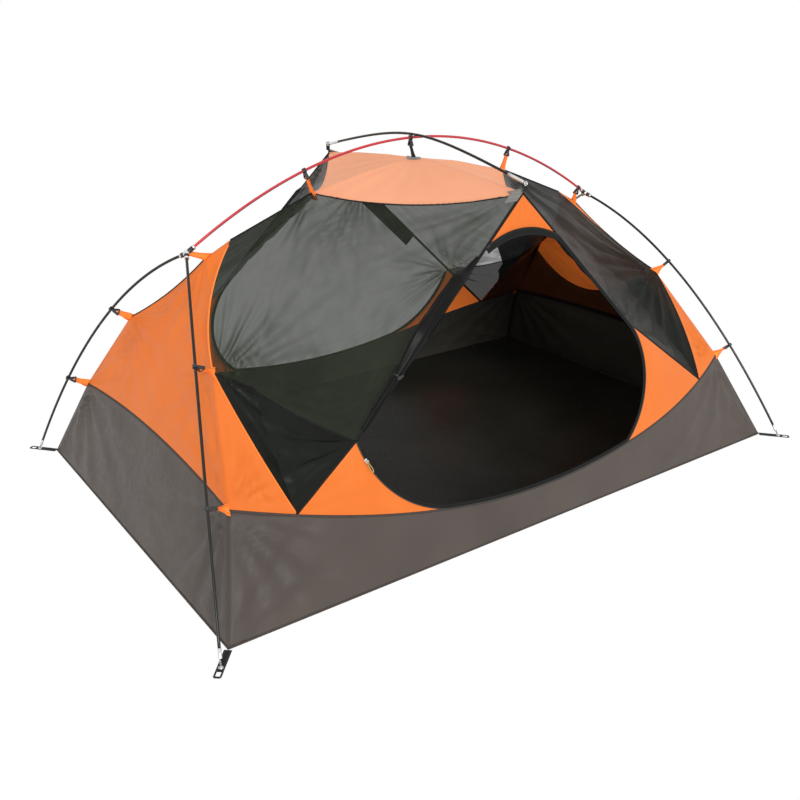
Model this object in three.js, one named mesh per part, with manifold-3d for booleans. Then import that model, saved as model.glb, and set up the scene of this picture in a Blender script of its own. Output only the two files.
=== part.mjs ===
// A two-person ridge-pole tent body on its poles, without the fly.
// Millimetres, +Z up. X runs along the ridge, the front door faces -Y,
// and the origin is on the ground under the crossing of the two poles.
import * as THREE from 'three';
import { mergeVertices } from 'three/addons/utils/BufferGeometryUtils.js';
import Module from 'manifold-3d';

const wasm = await Module();
wasm.setup();

// ---------- driving dimensions ----------
const FLOOR_X = 1120;          // half length of the floor
const FLOOR_Y = 725;           // half width of the floor
const FLOOR_THICK = 2;
const CLOTH = 1.6;             // thickness of a sewn panel
const SEAM = 2.4;              // half of the gap between two panels
const ZIP_HALF = 7;            // from a zip's centre line to the cloth beside it
const LEAN = Math.atan(0.1814);  // how far the door plane leans inwards

const POLE_R = 4.25;           // outer radius of every pole section
const BORE_R = 3.5;            // bore of a pole section
const SPIGOT_R = 3.05;         // ferrule that slides into the next bore
const SPIGOT_BORE = 2.3;
const SPIGOT_LONG = 45;
const CORD_R = 1.2;            // shock cord inside the poles
const PIN_R = 2.2;             // pin at a pole's tip
const PIN_BORE = 0.9;
const PIN_LONG = 16;
const COLLAR_R = 5.4;          // collar above the pin
const POLE_SIDES = 8;
const POLE_STEP = 60;          // longest straight step along a pole
const END_GAP = 0.5;           // gap between two pieces that meet end to end

const HUB_START = 14;          // from a hub's centre to the pole ends in it
const SLEEVE_LONG = 16;        // how far a hub's sleeve covers a pole
const SLEEVE_R = 7.6;
const BALL_R = 10;
const SOCKET_R = POLE_R + 0.6;  // bore of a sleeve
const CHANNEL_R = 2.6;         // way for the shock cord through a hub
const HOOK_OUT = 8.2;          // outer and inner radius of a clip's hook
const HOOK_IN = 5.2;
const CLIP_WIDE = 10;
const STRAP_WIDE = 22;         // corner webbing
const STAKE_REACH = 40;        // from a pole's foot to the end of its stake loop
const GROMMET_R = 4.2;
const TRACK_HALF = 4.2;        // half width of a zip's tape and teeth
const TRACK_THICK = 2.4;
const PULL_UP = 6.8;           // height of a slider's bar above the door plane
const PULL_LONG = 34;
const PULL_WIDE = 5;

const HUB = new THREE.Vector3(835, 0, 849);
const RIDGE_TOP = 1122;        // height of the ridge pole's centre line
const FOOT = new THREE.Vector3(1166, 779, 1.6);
const LEG_FLARE = 0.625;       // share of a leg's drop that grows with the square of its run
const BROW_Y = 559;            // half span of the cross pole
const BROW_TOP = RIDGE_TOP + 2 * POLE_R + 1;
const BROW_SLOPE = 0.25;       // slope of the cross pole's straight ends
const BROW_BEND = 260;         // half length of its curved middle

const UPPER_CLIP = 0.42;       // clips along a leg, as a share of its run
const LOWER_CLIP = 0.735;
const PEAK_CLIP_X = 796;       // clips along the ridge pole
const CENTRE_CLIP_X = 13;
const FRONT_SLIDER = 0.84;     // rest place of a slider along its arc of the zip
const BACK_SLIDER = 0.15;

// points of the tent body in the quarter where x and y are positive
const TUB_TAB = new THREE.Vector3(1017, 559, 300);
const UPPER_TAB = new THREE.Vector3(920, 314, 588);
const PEAK = new THREE.Vector3(774, 0, 828);
const WING_TOP = new THREE.Vector3(689, 0, 871);
const ROOF_END = new THREE.Vector3(398, 0, 982);
const ROOF_CENTRE = new THREE.Vector3(0, 0, 1057);
const TIP_UP = 1032;           // top of the door plane, measured up the plane
const WING_FOOT = 0.27;        // where the wing seam meets the tub's top edge, along that edge

// outline of a door in its leaning plane: across, up
const HINGE_LOW = [-667, 441];
const HINGE_HIGH = [-161, 890];
const ARCH_TOP = [-16, 930];
const ARCH_END = [135, 890];
const STRAIGHT_END = [440, 552];
const SIDE_MID = [494, 372];
const SILL_END = 390;          // half length of the sill
const SILL_UP = 162;
const SILL_MID_UP = 125;
const LOW_MID = [-580, 280];

// ---------- small helpers ----------
const V = (x, y, z) => new THREE.Vector3(x, y, z);
const mix = (a, b, t) => a.clone().lerp(b, t);
const flip = (p, sx, sy) => V(p.x * sx, p.y * sy, p.z);
const between = ([ax, ay], [bx, by], t) => [ax + (bx - ax) * t, ay + (by - ay) * t];
const line = (a, b) => (t) => mix(a, b, t);
const bend = (a, c, b) => (t) => mix(mix(a, c, t), mix(c, b, t), t);
const joined = (first, second) => (t) => (t < 0.5 ? first(2 * t) : second(2 * t - 1));
const stretch = (curve, from, to) => (t) => curve(from + (to - from) * t);
const steps = (count) => Array.from({ length: count + 1 }, (_, i) => i / (count || 1));

function toGeometry(points, faces) {
  const geometry = new THREE.BufferGeometry();
  const flat = points.flatMap((p) => [p.x, p.y, p.z]);
  geometry.setAttribute('position', new THREE.Float32BufferAttribute(flat, 3));
  let volume = 0;
  for (const [a, b, c] of faces) {
    volume += points[a].dot(points[b].clone().cross(points[c]));
  }
  const outward = volume > 0 ? faces : faces.map(([a, b, c]) => [a, c, b]);
  geometry.setIndex(outward.flat());
  return geometry;
}

// Joins rings of equal count into a skin. Closed: the last ring meets the first one.
// Otherwise both end rings are capped.
function skin(rings, closed = false) {
  const count = rings[0].length;
  const points = rings.flat();
  const faces = [];
  const last = closed ? rings.length : rings.length - 1;
  for (let r = 0; r < last; r += 1) {
    const here = r * count;
    const next = ((r + 1) % rings.length) * count;
    for (let i = 0; i < count; i += 1) {
      const j = (i + 1) % count;
      faces.push([here + i, here + j, next + j], [here + i, next + j, next + i]);
    }
  }
  if (!closed) {
    const end = (rings.length - 1) * count;
    for (let i = 1; i < count - 1; i += 1) {
      faces.push([0, i + 1, i], [end, end + i, end + i + 1]);
    }
  }
  return toGeometry(points, faces);
}

// A closed thin solid on both sides of a grid of points, grid[row][column].
function shell(grid, thick = CLOTH) {
  const rows = grid.length;
  const cols = grid[0].length;
  const at = (r, c) => {
    const row = grid[THREE.MathUtils.clamp(r, 0, rows - 1)];
    return row[THREE.MathUtils.clamp(c, 0, cols - 1)];
  };
  const over = [];
  const under = [];
  for (let r = 0; r < rows; r += 1) {
    for (let c = 0; c < cols; c += 1) {
      const along = at(r, c + 1).clone().sub(at(r, c - 1));
      const up = at(r + 1, c).clone().sub(at(r - 1, c));
      const side = along.cross(up).normalize().multiplyScalar(thick / 2);
      over.push(at(r, c).clone().add(side));
      under.push(at(r, c).clone().sub(side));
    }
  }
  const faces = [];
  const half = rows * cols;
  for (let r = 0; r < rows - 1; r += 1) {
    for (let c = 0; c < cols - 1; c += 1) {
      const a = r * cols + c;
      const b = a + 1;
      const d = a + cols;
      const e = d + 1;
      faces.push([a, b, e], [a, e, d]);
      faces.push([half + a, half + e, half + b], [half + a, half + d, half + e]);
    }
  }
  const rim = [];
  for (let c = 0; c < cols - 1; c += 1) rim.push([c, c + 1]);
  for (let r = 0; r < rows - 1; r += 1) rim.push([(r + 1) * cols - 1, (r + 2) * cols - 1]);
  const top = (rows - 1) * cols;
  for (let c = cols - 1; c > 0; c -= 1) rim.push([top + c, top + c - 1]);
  for (let r = rows - 1; r > 0; r -= 1) rim.push([r * cols, (r - 1) * cols]);
  for (const [a, b] of rim) faces.push([b, a, half + a], [b, half + a, half + b]);
  return toGeometry([...over, ...under], faces);
}

// A stretched panel between four edge curves, drawn back from each edge by an inset.
function patchGrid({ left, right, bottom, top }, across, up, inset = {}) {
  const gap = { left: SEAM, right: SEAM, bottom: SEAM, top: SEAM, ...inset };
  const within = (t, low, high, size) => {
    const a = Math.min(0.45, low / size);
    const b = Math.min(0.45, high / size);
    return a + (1 - a - b) * t;
  };
  return steps(up).map((v0) => steps(across).map((u0) => {
    const v = within(v0, gap.bottom, gap.top, bottom(u0).distanceTo(top(u0)));
    const u = within(u0, gap.left, gap.right, left(v).distanceTo(right(v)));
    const sides = mix(left(v), right(v), u);
    const ends = mix(bottom(u), top(u), v);
    const corners = mix(mix(bottom(0), bottom(1), u), mix(top(0), top(1), u), v);
    return sides.add(ends).sub(corners);
  }));
}

// The arc through three points of a plane, and its centre.
function arcCentre([ax, ay], [bx, by], [cx, cy]) {
  const d = 2 * (ax * (by - cy) + bx * (cy - ay) + cx * (ay - by));
  const a = ax * ax + ay * ay;
  const b = bx * bx + by * by;
  const c = cx * cx + cy * cy;
  const x = a * (by - cy) + b * (cy - ay) + c * (ay - by);
  const y = a * (cx - bx) + b * (ax - cx) + c * (bx - ax);
  return [x / d, y / d];
}

function arc(from, through, to) {
  const [x, y] = arcCentre(from, through, to);
  const angle = ([px, py]) => Math.atan2(py - y, px - x);
  const start = angle(from);
  const wrap = (a) => THREE.MathUtils.euclideanModulo(a - start, 2 * Math.PI);
  const full = wrap(angle(to));
  const sweep = wrap(angle(through)) < full ? full : full - 2 * Math.PI;
  const radius = Math.hypot(from[0] - x, from[1] - y);
  return (t) => {
    const a = start + sweep * t;
    return [x + radius * Math.cos(a), y + radius * Math.sin(a)];
  };
}

// ---------- the long walls' seams, for the front side ----------
const doorPoint = ([across, up]) => V(across, -FLOOR_Y + up * Math.sin(LEAN), up * Math.cos(LEAN));
const onDoor = (curve) => (t) => doorPoint(curve(t));
const OUTWARD = V(0, -Math.cos(LEAN), Math.sin(LEAN));
const TIP = doorPoint([0, TIP_UP]);

const archArc = arc(HINGE_HIGH, ARCH_TOP, ARCH_END);
const sideArc = arc(STRAIGHT_END, SIDE_MID, [SILL_END, SILL_UP]);
const sillArc = arc([SILL_END, SILL_UP], [0, SILL_MID_UP], [-SILL_END, SILL_UP]);
const lowArc = arc([-SILL_END, SILL_UP], LOW_MID, HINGE_LOW);
const hinge = line(doorPoint(HINGE_LOW), TIP);
const straightSeam = line(doorPoint(STRAIGHT_END), TIP);

// the tub's top edge from a corner tab to the sill, for the side sx
const tubTop = (sx) => bend(
  flip(TUB_TAB, sx, -1), V(700 * sx, -693, 218), doorPoint([SILL_END * sx, SILL_UP]),
);
const wingFoot = (sx) => tubTop(sx)(WING_FOOT);
const wingSeam = (sx) => joined(
  bend(wingFoot(sx), V(905 * sx, -500, 425), V(914 * sx, -316, 590)),
  bend(V(914 * sx, -316, 590), V(830 * sx, -110, 745), flip(WING_TOP, sx, 1)),
);
const cornerEdge = (sx, sy) => joined(
  line(flip(TUB_TAB, sx, sy), flip(UPPER_TAB, sx, sy)),
  bend(flip(UPPER_TAB, sx, sy), V(838 * sx, 146 * sy, 684), flip(PEAK, sx, 1)),
);
const roofEdge = (sx, sy) => bend(
  flip(ROOF_END, sx, 1), V(194 * sx, 257 * sy, 924), flip(TIP, 1, -sy),
);
const ridgeLine = (sx) => line(flip(WING_TOP, sx, 1), flip(ROOF_END, sx, 1));

// ---------- panels of a long wall ----------
function doorGrid() {
  const path = zipPath().map(doorPoint);
  const zip = (t) => {
    const place = t * (path.length - 1);
    const i = Math.min(path.length - 2, Math.floor(place));
    return mix(path[i], path[i + 1], place - i);
  };
  return patchGrid({
    left: line(doorPoint(HINGE_LOW), doorPoint(HINGE_HIGH)),
    right: zip,
    bottom: () => doorPoint(HINGE_LOW),
    top: () => doorPoint(HINGE_HIGH),
  }, 6, path.length - 1, { right: 0, bottom: 22, top: 22 });
}

function meshGrid(sx) {
  const seam = sx < 0 ? hinge : straightSeam;
  const low = sx < 0 ? doorPoint(HINGE_LOW) : doorPoint(STRAIGHT_END);
  return patchGrid({
    left: wingSeam(sx),
    right: joined(line(wingFoot(sx), low), seam),
    bottom: () => wingFoot(sx),
    top: joined(ridgeLine(sx), roofEdge(sx, -1)),
  }, 8, 9, { bottom: 0 });
}

function peakGrid() {
  const from = (HINGE_HIGH[1] - HINGE_LOW[1]) / (TIP_UP - HINGE_LOW[1]);
  return patchGrid({
    left: stretch(hinge, from, 1),
    right: line(doorPoint(ARCH_END), TIP),
    bottom: onDoor(archArc),
    top: () => TIP,
  }, 6, 4, { bottom: 0, top: 10 });
}

function cornerGrid(sx) {
  const apex = sx < 0 ? HINGE_LOW : STRAIGHT_END;
  const zip = sx < 0 ? onDoor(lowArc) : (t) => doorPoint(sideArc(1 - t));
  return patchGrid({
    left: line(wingFoot(sx), doorPoint(apex)),
    right: zip,
    bottom: stretch(tubTop(sx), WING_FOOT, 1),
    top: () => doorPoint(apex),
  }, 5, 5, { right: 0, top: 8 });
}

function sideTubGrid() {
  const topEdge = (t) => {
    if (t < 0.3) return tubTop(-1)(t / 0.3);
    if (t > 0.7) return tubTop(1)((1 - t) / 0.3);
    return doorPoint(sillArc(1 - (t - 0.3) / 0.4));
  };
  const low = FLOOR_THICK + SEAM / 2;
  return patchGrid({
    left: line(V(-FLOOR_X, -FLOOR_Y, low), flip(TUB_TAB, -1, -1)),
    right: line(V(FLOOR_X, -FLOOR_Y, low), flip(TUB_TAB, 1, -1)),
    bottom: line(V(-FLOOR_X, -FLOOR_Y, low), V(FLOOR_X, -FLOOR_Y, low)),
    top: topEdge,
  }, 14, 2, { top: SEAM });
}

// ---------- panels of an end wall, for the side sx ----------
const endTubTop = (sx) => bend(flip(TUB_TAB, sx, -1), V(997 * sx, 0, 360), flip(TUB_TAB, sx, 1));

function endTubGrid(sx) {
  const low = FLOOR_THICK + SEAM / 2;
  return patchGrid({
    left: line(V(FLOOR_X * sx, -FLOOR_Y, low), flip(TUB_TAB, sx, -1)),
    right: line(V(FLOOR_X * sx, FLOOR_Y, low), flip(TUB_TAB, sx, 1)),
    bottom: line(V(FLOOR_X * sx, -FLOOR_Y, low), V(FLOOR_X * sx, FLOOR_Y, low)),
    top: endTubTop(sx),
  }, 8, 2);
}

// One orange piece: the end wall and the wing that folds round each corner.
function endGrid(sx) {
  const rows = 12;
  const sideSeam = (sy) => (t) => flip(wingSeam(sx)(t), 1, -sy);
  const sideTub = (sy) => (t) => flip(tubTop(sx)(t), 1, -sy);
  const wing = (sy) => patchGrid({
    left: sideSeam(sy),
    right: cornerEdge(sx, sy),
    bottom: (t) => sideTub(sy)(WING_FOOT * (1 - t)),
    top: line(flip(WING_TOP, sx, 1), flip(PEAK, sx, 1)),
  }, 3, rows, { right: 0 });
  const end = patchGrid({
    left: cornerEdge(sx, -1),
    right: cornerEdge(sx, 1),
    bottom: endTubTop(sx),
    top: () => flip(PEAK, sx, 1),
  }, 6, rows, { left: 0, right: 0, top: 5 });
  const near = wing(-1);
  const far = wing(1);
  return end.map((row, r) => [
    ...near[r].slice(0, -1),
    mix(near[r].at(-1), row[0], 0.5),
    ...row.slice(1, -1),
    mix(far[r].at(-1), row.at(-1), 0.5),
    ...far[r].slice(0, -1).reverse(),
  ]);
}

// ---------- roof and floor ----------
// Points round the roof's edge, from its front tip by way of the right end.
function roofRim(perEdge) {
  const quarters = [[1, -1], [1, 1], [-1, 1], [-1, -1]];
  return quarters.flatMap(([sx, sy], q) => {
    const edge = roofEdge(sx, sy);
    const forward = (t) => (q % 2 ? edge(t) : edge(1 - t));
    return steps(perEdge).slice(0, -1).map(forward);
  });
}

function roof() {
  const rim = roofRim(5).map((p) => ROOF_CENTRE.clone().sub(p).setLength(SEAM + 1).add(p));
  const rings = [0.04, 0.35, 0.7, 1];
  const layer = (dz) => rings.map((r) => rim.map((p) => mix(ROOF_CENTRE, p, r).add(V(0, 0, dz))));
  const over = layer(CLOTH / 2);
  const under = layer(-CLOTH / 2).reverse();
  return skin([...over, ...under]);
}

function floorSheet() {
  const geometry = new THREE.BoxGeometry(2 * FLOOR_X, 2 * FLOOR_Y, FLOOR_THICK);
  geometry.translate(0, 0, FLOOR_THICK / 2);
  return geometry;
}

// ---------- poles ----------
const legLine = (sx, sy) => (t) => {
  const drop = (HUB.z - FOOT.z) * ((1 - LEG_FLARE) * t + LEG_FLARE * t * t);
  return V(sx * (HUB.x + (FOOT.x - HUB.x) * t), sy * FOOT.y * t, HUB.z - drop);
};
const ridgePole = (t) => {
  const x = HUB.x * (2 * t - 1);
  return V(x, 0, RIDGE_TOP - (RIDGE_TOP - HUB.z) * (x / HUB.x) ** 2);
};
const browPole = (t) => {
  const y = BROW_Y * (2 * t - 1);
  return V(0, y, BROW_TOP - BROW_SLOPE * (Math.hypot(y, BROW_BEND) - BROW_BEND));
};

function ring(centre, tangent, radius, sides) {
  const across = V(0, 0, 1).cross(tangent);
  if (across.length() < 0.1) across.set(0, 1, 0);
  across.normalize();
  const up = tangent.clone().cross(across).normalize();
  return Array.from({ length: sides }, (_, i) => {
    const a = (2 * Math.PI * (i + 0.5)) / sides;
    return centre.clone()
      .addScaledVector(across, radius * Math.cos(a))
      .addScaledVector(up, radius * Math.sin(a));
  });
}

const tangentAt = (curve, t) => {
  const ahead = curve(Math.min(1, t + 0.002));
  return ahead.sub(curve(Math.max(0, t - 0.002))).normalize();
};

function lengthOf(curve) {
  const points = steps(200).map(curve);
  return points.slice(1).reduce((sum, p, i) => sum + p.distanceTo(points[i]), 0);
}

// Even stations along a section of a pole.
function stations(curve, from, to) {
  const count = Math.max(1, Math.round((lengthOf(curve) * (to - from)) / POLE_STEP));
  return steps(count).map((t) => from + (to - from) * t);
}

// One hollow pole section from t = from to t = to. A spigot reaches on into the next
// section, and a tip has a collar and a thin pin for a grommet.
function poleSection(curve, from, to, { spigot = false, tip = 0 } = {}) {
  const long = lengthOf(curve);
  const reach = SPIGOT_LONG / long;
  const gap = END_GAP / long;
  const pin = PIN_LONG / long;
  const low = tip < 0 ? from + 2.2 * pin : from;
  const high = tip > 0 ? to - 2.2 * pin : to - (spigot ? gap : 0);
  const body = stations(curve, low, high);
  const outer = body.map((t) => [t, POLE_R]);
  const inner = body.map((t) => [t, BORE_R]);
  if (spigot) {
    outer.push([high, SPIGOT_R], [to + reach, SPIGOT_R]);
    inner.pop();
    inner.push([to - reach, BORE_R], [to - 0.9 * reach, SPIGOT_BORE], [to + reach, SPIGOT_BORE]);
  }
  if (tip) {
    const end = tip > 0 ? to : from;
    const collar = [[2, POLE_R], [1.95, COLLAR_R], [1, COLLAR_R], [0.95, PIN_R], [0, PIN_R]];
    const hole = [[2.1, PIN_BORE], [0, PIN_BORE]];
    outer.push(...collar.map(([k, r]) => [end - tip * k * pin, r]));
    inner.push(...hole.map(([k, r]) => [end - tip * k * pin, r]));
  }
  const rings = ([t, radius]) => ring(curve(t), tangentAt(curve, t), radius, POLE_SIDES);
  const inOrder = (list) => list.sort((a, b) => a[0] - b[0]).map(rings);
  return skin([...inOrder(outer), ...inOrder(inner).reverse()], true);
}

function rod(from, to, radius, sides = 8) {
  const along = to.clone().sub(from).normalize();
  return skin([ring(from, along, radius, sides), ring(to, along, radius, sides)]);
}

function cordAlong(curve, from, to) {
  return skin(stations(curve, from, to).map((t) => ring(curve(t), tangentAt(curve, t), CORD_R, 6)));
}

// ---------- joining and cutting ----------
function solid(geometry) {
  const bare = new THREE.BufferGeometry();
  bare.setAttribute('position', geometry.getAttribute('position'));
  bare.setIndex(geometry.index);
  const clean = mergeVertices(bare, 1e-4);
  return new wasm.Manifold(new wasm.Mesh({
    numProp: 3,
    vertProperties: new Float32Array(clean.getAttribute('position').array),
    triVerts: new Uint32Array(clean.index.array),
  }));
}

function fromSolid(manifold) {
  const mesh = manifold.getMesh();
  const geometry = new THREE.BufferGeometry();
  const places = new Float32Array(mesh.vertProperties);
  geometry.setAttribute('position', new THREE.BufferAttribute(places, 3));
  geometry.setIndex(new THREE.BufferAttribute(new Uint32Array(mesh.triVerts), 1));
  return geometry;
}

const union = (geometries) => geometries.map(solid).reduce((sum, piece) => sum.add(piece));

// The three pole ends of a hub: where each pole starts and which way it leaves.
function hubArms(sx) {
  const ridge = (t) => ridgePole(sx > 0 ? 1 - t : t);
  return [ridge, legLine(sx, -1), legLine(sx, 1)].map((curve) => {
    const long = lengthOf(curve);
    const start = curve(HUB_START / long);
    const way = curve((HUB_START + POLE_STEP) / long).sub(start).normalize();
    return { start, way };
  });
}

function hub(sx) {
  const centre = flip(HUB, sx, 1);
  const onArm = ({ start, way }, distance) => start.clone().addScaledVector(way, distance);
  const arms = hubArms(sx);
  const ball = new THREE.SphereGeometry(BALL_R, 12, 8).translate(centre.x, centre.y, centre.z);
  const sleeves = arms.map((arm) => rod(centre, onArm(arm, SLEEVE_LONG), SLEEVE_R, 10));
  const bores = arms.map((arm) => rod(onArm(arm, -1), onArm(arm, 2 * SLEEVE_LONG), SOCKET_R, 10));
  const channels = arms.map((arm) => {
    const beyond = centre.clone().addScaledVector(arm.way, -3);
    return rod(beyond, onArm(arm, 2), CHANNEL_R);
  });
  return fromSolid(union([ball, ...sleeves]).subtract(union([...bores, ...channels])));
}

function frameCord() {
  const corners = [[-1, -1], [-1, 1], [1, -1], [1, 1]];
  const legs = corners.map(([sx, sy]) => cordAlong(legLine(sx, sy), 0, 0.94));
  return fromSolid(union([cordAlong(ridgePole, 0, 1), ...legs]));
}

// ---------- clips ----------
// Outline of a clip across its pole: a hook round the pole and a three-sided loop for the tab.
function clipShape() {
  const P = (x, y) => new THREE.Vector2(x, y);
  const arcPoints = (radius, from, to, count) => steps(count).map((t) => {
    const a = THREE.MathUtils.degToRad(from + (to - from) * t);
    return P(radius * Math.cos(a), radius * Math.sin(a));
  });
  const bar = [P(23, -11), P(27, -11), P(27, 11), P(23, 11)];
  const shape = new THREE.Shape([
    ...arcPoints(HOOK_OUT, 100, 335, 8),
    ...bar,
    ...arcPoints(HOOK_OUT, 40, 40, 0),
    ...arcPoints(HOOK_IN, 40, -260, 10),
  ]);
  shape.holes.push(new THREE.Path([P(13, -3), P(22.5, -7.5), P(22.5, 7.5), P(13, 3)]));
  return shape;
}

// A flat plate of the given thickness, standing on the plane of its outline.
const plate = (shape, depth) => new THREE.ExtrudeGeometry(shape, {
  depth, bevelEnabled: false, steps: 1, curveSegments: 6,
});

function clip(curve, t, toward) {
  const at = curve(t);
  const along = tangentAt(curve, t);
  const inward = toward.clone().sub(at);
  inward.addScaledVector(along, -inward.dot(along)).normalize();
  const geometry = plate(clipShape(), CLIP_WIDE).translate(0, 0, -CLIP_WIDE / 2);
  const frame = new THREE.Matrix4().makeBasis(inward, along.clone().cross(inward), along);
  return geometry.applyMatrix4(frame.setPosition(at));
}

// ---------- corner straps and cross-pole tabs ----------
function cornerStrap(sx, sy) {
  const out = V(FOOT.x - FLOOR_X, FOOT.y - FLOOR_Y, 0);
  const start = 2 - out.length();
  const half = STRAP_WIDE / 2;
  const P = (x, y) => new THREE.Vector2(x, y);
  const shape = new THREE.Shape([
    P(start, -half), P(STAKE_REACH, -half), P(STAKE_REACH, half), P(start, half),
  ]);
  const loopEnd = STAKE_REACH - 5;
  shape.holes.push(new THREE.Path().absarc(0, 0, GROMMET_R, 0, 2 * Math.PI, true));
  shape.holes.push(new THREE.Path([P(16, -7), P(16, 7), P(loopEnd, 7), P(loopEnd, -7)]));
  const geometry = plate(shape, CLOTH).rotateZ(Math.atan2(sy * out.y, sx * out.x));
  return geometry.translate(sx * FOOT.x, sy * FOOT.y, 0.3);
}

function browTab(sy) {
  const shape = new THREE.Shape();
  shape.moveTo(-8, -22).lineTo(8, -22).lineTo(8, 9).lineTo(-8, 9);
  shape.holes.push(new THREE.Path().absarc(0, 0, GROMMET_R, 0, 2 * Math.PI, true));
  const at = browPole(1 - PIN_LONG / 2 / lengthOf(browPole));
  const geometry = plate(shape, CLOTH).translate(0, 0, -CLOTH / 2);
  return geometry.rotateX(Math.PI / 2).translate(0, sy * at.y, at.z);
}

// ---------- zips ----------
// The zip's centre line from the lower end of the hinge seam round to its upper end.
function zipPath() {
  const straight = (t) => between(STRAIGHT_END, ARCH_END, t);
  const back = (curve) => (t) => curve(1 - t);
  const runs = [
    [back(lowArc), 7], [back(sillArc), 6], [back(sideArc), 7], [straight, 3], [back(archArc), 6],
  ];
  return runs.flatMap(([curve, count], r) => steps(count).slice(r ? 1 : 0).map(curve));
}

function zipStrip(half, thick) {
  const path = zipPath();
  path[0] = between(path[0], path[1], 0.15);
  path[path.length - 1] = between(path.at(-1), path.at(-2), 0.15);
  const rings = path.map((p, i) => {
    const [ax, ay] = path[Math.max(0, i - 1)];
    const [bx, by] = path[Math.min(path.length - 1, i + 1)];
    const size = Math.hypot(bx - ax, by - ay);
    const side = [(-(by - ay) / size) * half, ((bx - ax) / size) * half];
    const inner = doorPoint([p[0] + side[0], p[1] + side[1]]);
    const outer = doorPoint([p[0] - side[0], p[1] - side[1]]);
    return [[inner, 1], [outer, 1], [outer, -1], [inner, -1]]
      .map(([point, k]) => point.clone().addScaledVector(OUTWARD, (k * thick) / 2));
  });
  return skin(rings);
}

// A panel of the front wall with its edge drawn back from the zip.
function besideZip(grid) {
  const cut = solid(zipStrip(ZIP_HALF, 10 * TRACK_THICK));
  const pieces = solid(shell(grid)).subtract(cut).decompose();
  return fromSolid(pieces.sort((a, b) => b.volume() - a.volume())[0]);
}

// Local frame of a slider on an arc of the zip: x along the track downhill, z outward.
function sliderFrame(curve, t) {
  const at = doorPoint(curve(t));
  const along = doorPoint(curve(t + 0.01)).sub(doorPoint(curve(t - 0.01))).normalize();
  if (along.z > 0) along.negate();
  const frame = new THREE.Matrix4().makeBasis(along, OUTWARD.clone().cross(along), OUTWARD);
  return frame.setPosition(at);
}

function block(x, y, z, cx, cy, cz) {
  return new THREE.BoxGeometry(x, y, z).translate(cx, cy, cz);
}

function slider(frame) {
  const base = TRACK_THICK / 2 + 0.6;
  const pieces = [
    block(16, 9, 2, 0, 0, base + 1),
    block(5, 1.5, 7, 0, 4, base + 4.5),
    block(5, 1.5, 7, 0, -4, base + 4.5),
    rod(V(0, -4, PULL_UP), V(0, 4, PULL_UP), 1, 8),
  ];
  return fromSolid(union(pieces)).applyMatrix4(frame);
}

function pull(frame) {
  const shape = new THREE.Shape();
  shape.moveTo(2, -0.7).lineTo(PULL_LONG, -0.7).lineTo(PULL_LONG, 0.7).lineTo(2, 0.7);
  shape.absarc(0, 0, 2.5, 0.3, 2 * Math.PI - 0.3, false);
  shape.holes.push(new THREE.Path().absarc(0, 0, 1.5, 0, 2 * Math.PI, true));
  const geometry = plate(shape, PULL_WIDE).rotateX(Math.PI / 2).translate(0, PULL_WIDE / 2, PULL_UP);
  return geometry.applyMatrix4(frame);
}

// The rolled door lies along its hinge seam, outside the mesh, and is thinner below its tie.
function doorRoll() {
  const top = doorPoint(HINGE_HIGH);
  const low = doorPoint(HINGE_LOW);
  const along = low.clone().sub(top).normalize();
  const aside = OUTWARD.clone().cross(along).normalize();
  if (aside.x > 0) aside.negate();
  const bulk = [[0.06, 6], [0.14, 10], [0.2, 19], [0.5, 21], [0.69, 11], [0.8, 9], [0.95, 6]];
  return skin(bulk.map(([t, radius]) => {
    const centre = mix(top, low, t).addScaledVector(aside, 1.5 * radius);
    centre.addScaledVector(OUTWARD, radius + 6);
    return ring(centre, along, radius, 10);
  }));
}

// ---------- assembly ----------
const COLOURS = {
  orange: [0xe8733a, 0.75], roof: [0xf09a6a, 0.75], tub: [0x655b58, 0.8], mesh: [0x2c2f2c, 0.9],
  black: [0x18181a, 0.6], red: [0xb4404c, 0.35], pole: [0x2b2d30, 0.35], grey: [0x565a5c, 0.4],
  silver: [0xb8bcc0, 0.3], gold: [0xc9a24a, 0.7],
};
const group = new THREE.Group();

function put(name, geometry, colour, metalness = 0) {
  const [color, roughness] = COLOURS[colour];
  geometry.computeVertexNormals();
  const material = new THREE.MeshStandardMaterial({ color, roughness, metalness });
  const mesh = new THREE.Mesh(geometry, material);
  mesh.name = name;
  group.add(mesh);
  return mesh;
}

// Adds a piece of the front wall, and its copy turned half a turn round Z for the back wall.
function putBoth(frontName, backName, geometry, colour, metalness = 0) {
  put(frontName, geometry, colour, metalness);
  put(backName, geometry.clone(), colour, metalness).rotation.z = Math.PI;
}

put('floor', floorSheet(), 'tub');
put('roof_panel', roof(), 'roof');
putBoth('front_tub_wall', 'back_tub_wall', besideZip(sideTubGrid()), 'tub');
putBoth('front_mesh_left', 'back_mesh_right', besideZip(meshGrid(-1)), 'mesh');
putBoth('front_mesh_right', 'back_mesh_left', besideZip(meshGrid(1)), 'mesh');
putBoth('front_peak_panel', 'back_peak_panel', besideZip(peakGrid()), 'orange');
putBoth('front_corner_left', 'back_corner_right', besideZip(cornerGrid(-1)), 'orange');
putBoth('front_corner_right', 'back_corner_left', besideZip(cornerGrid(1)), 'orange');
for (const [side, sx] of [['left', -1], ['right', 1]]) {
  put(`${side}_tub_wall`, shell(endTubGrid(sx)), 'tub');
  put(`${side}_end_panel`, shell(endGrid(sx)), 'orange');
}
put('front_door_roll', doorRoll(), 'mesh');
put('back_door_panel', besideZip(doorGrid()), 'mesh').rotation.z = Math.PI;
putBoth('front_zip_track', 'back_zip_track', zipStrip(TRACK_HALF, TRACK_THICK), 'black');
const frontSlider = sliderFrame(lowArc, FRONT_SLIDER);
const backSlider = sliderFrame(archArc, BACK_SLIDER);
put('front_zip_slider', slider(frontSlider), 'silver', 0.8);
put('front_zip_pull', pull(frontSlider), 'gold');
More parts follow.
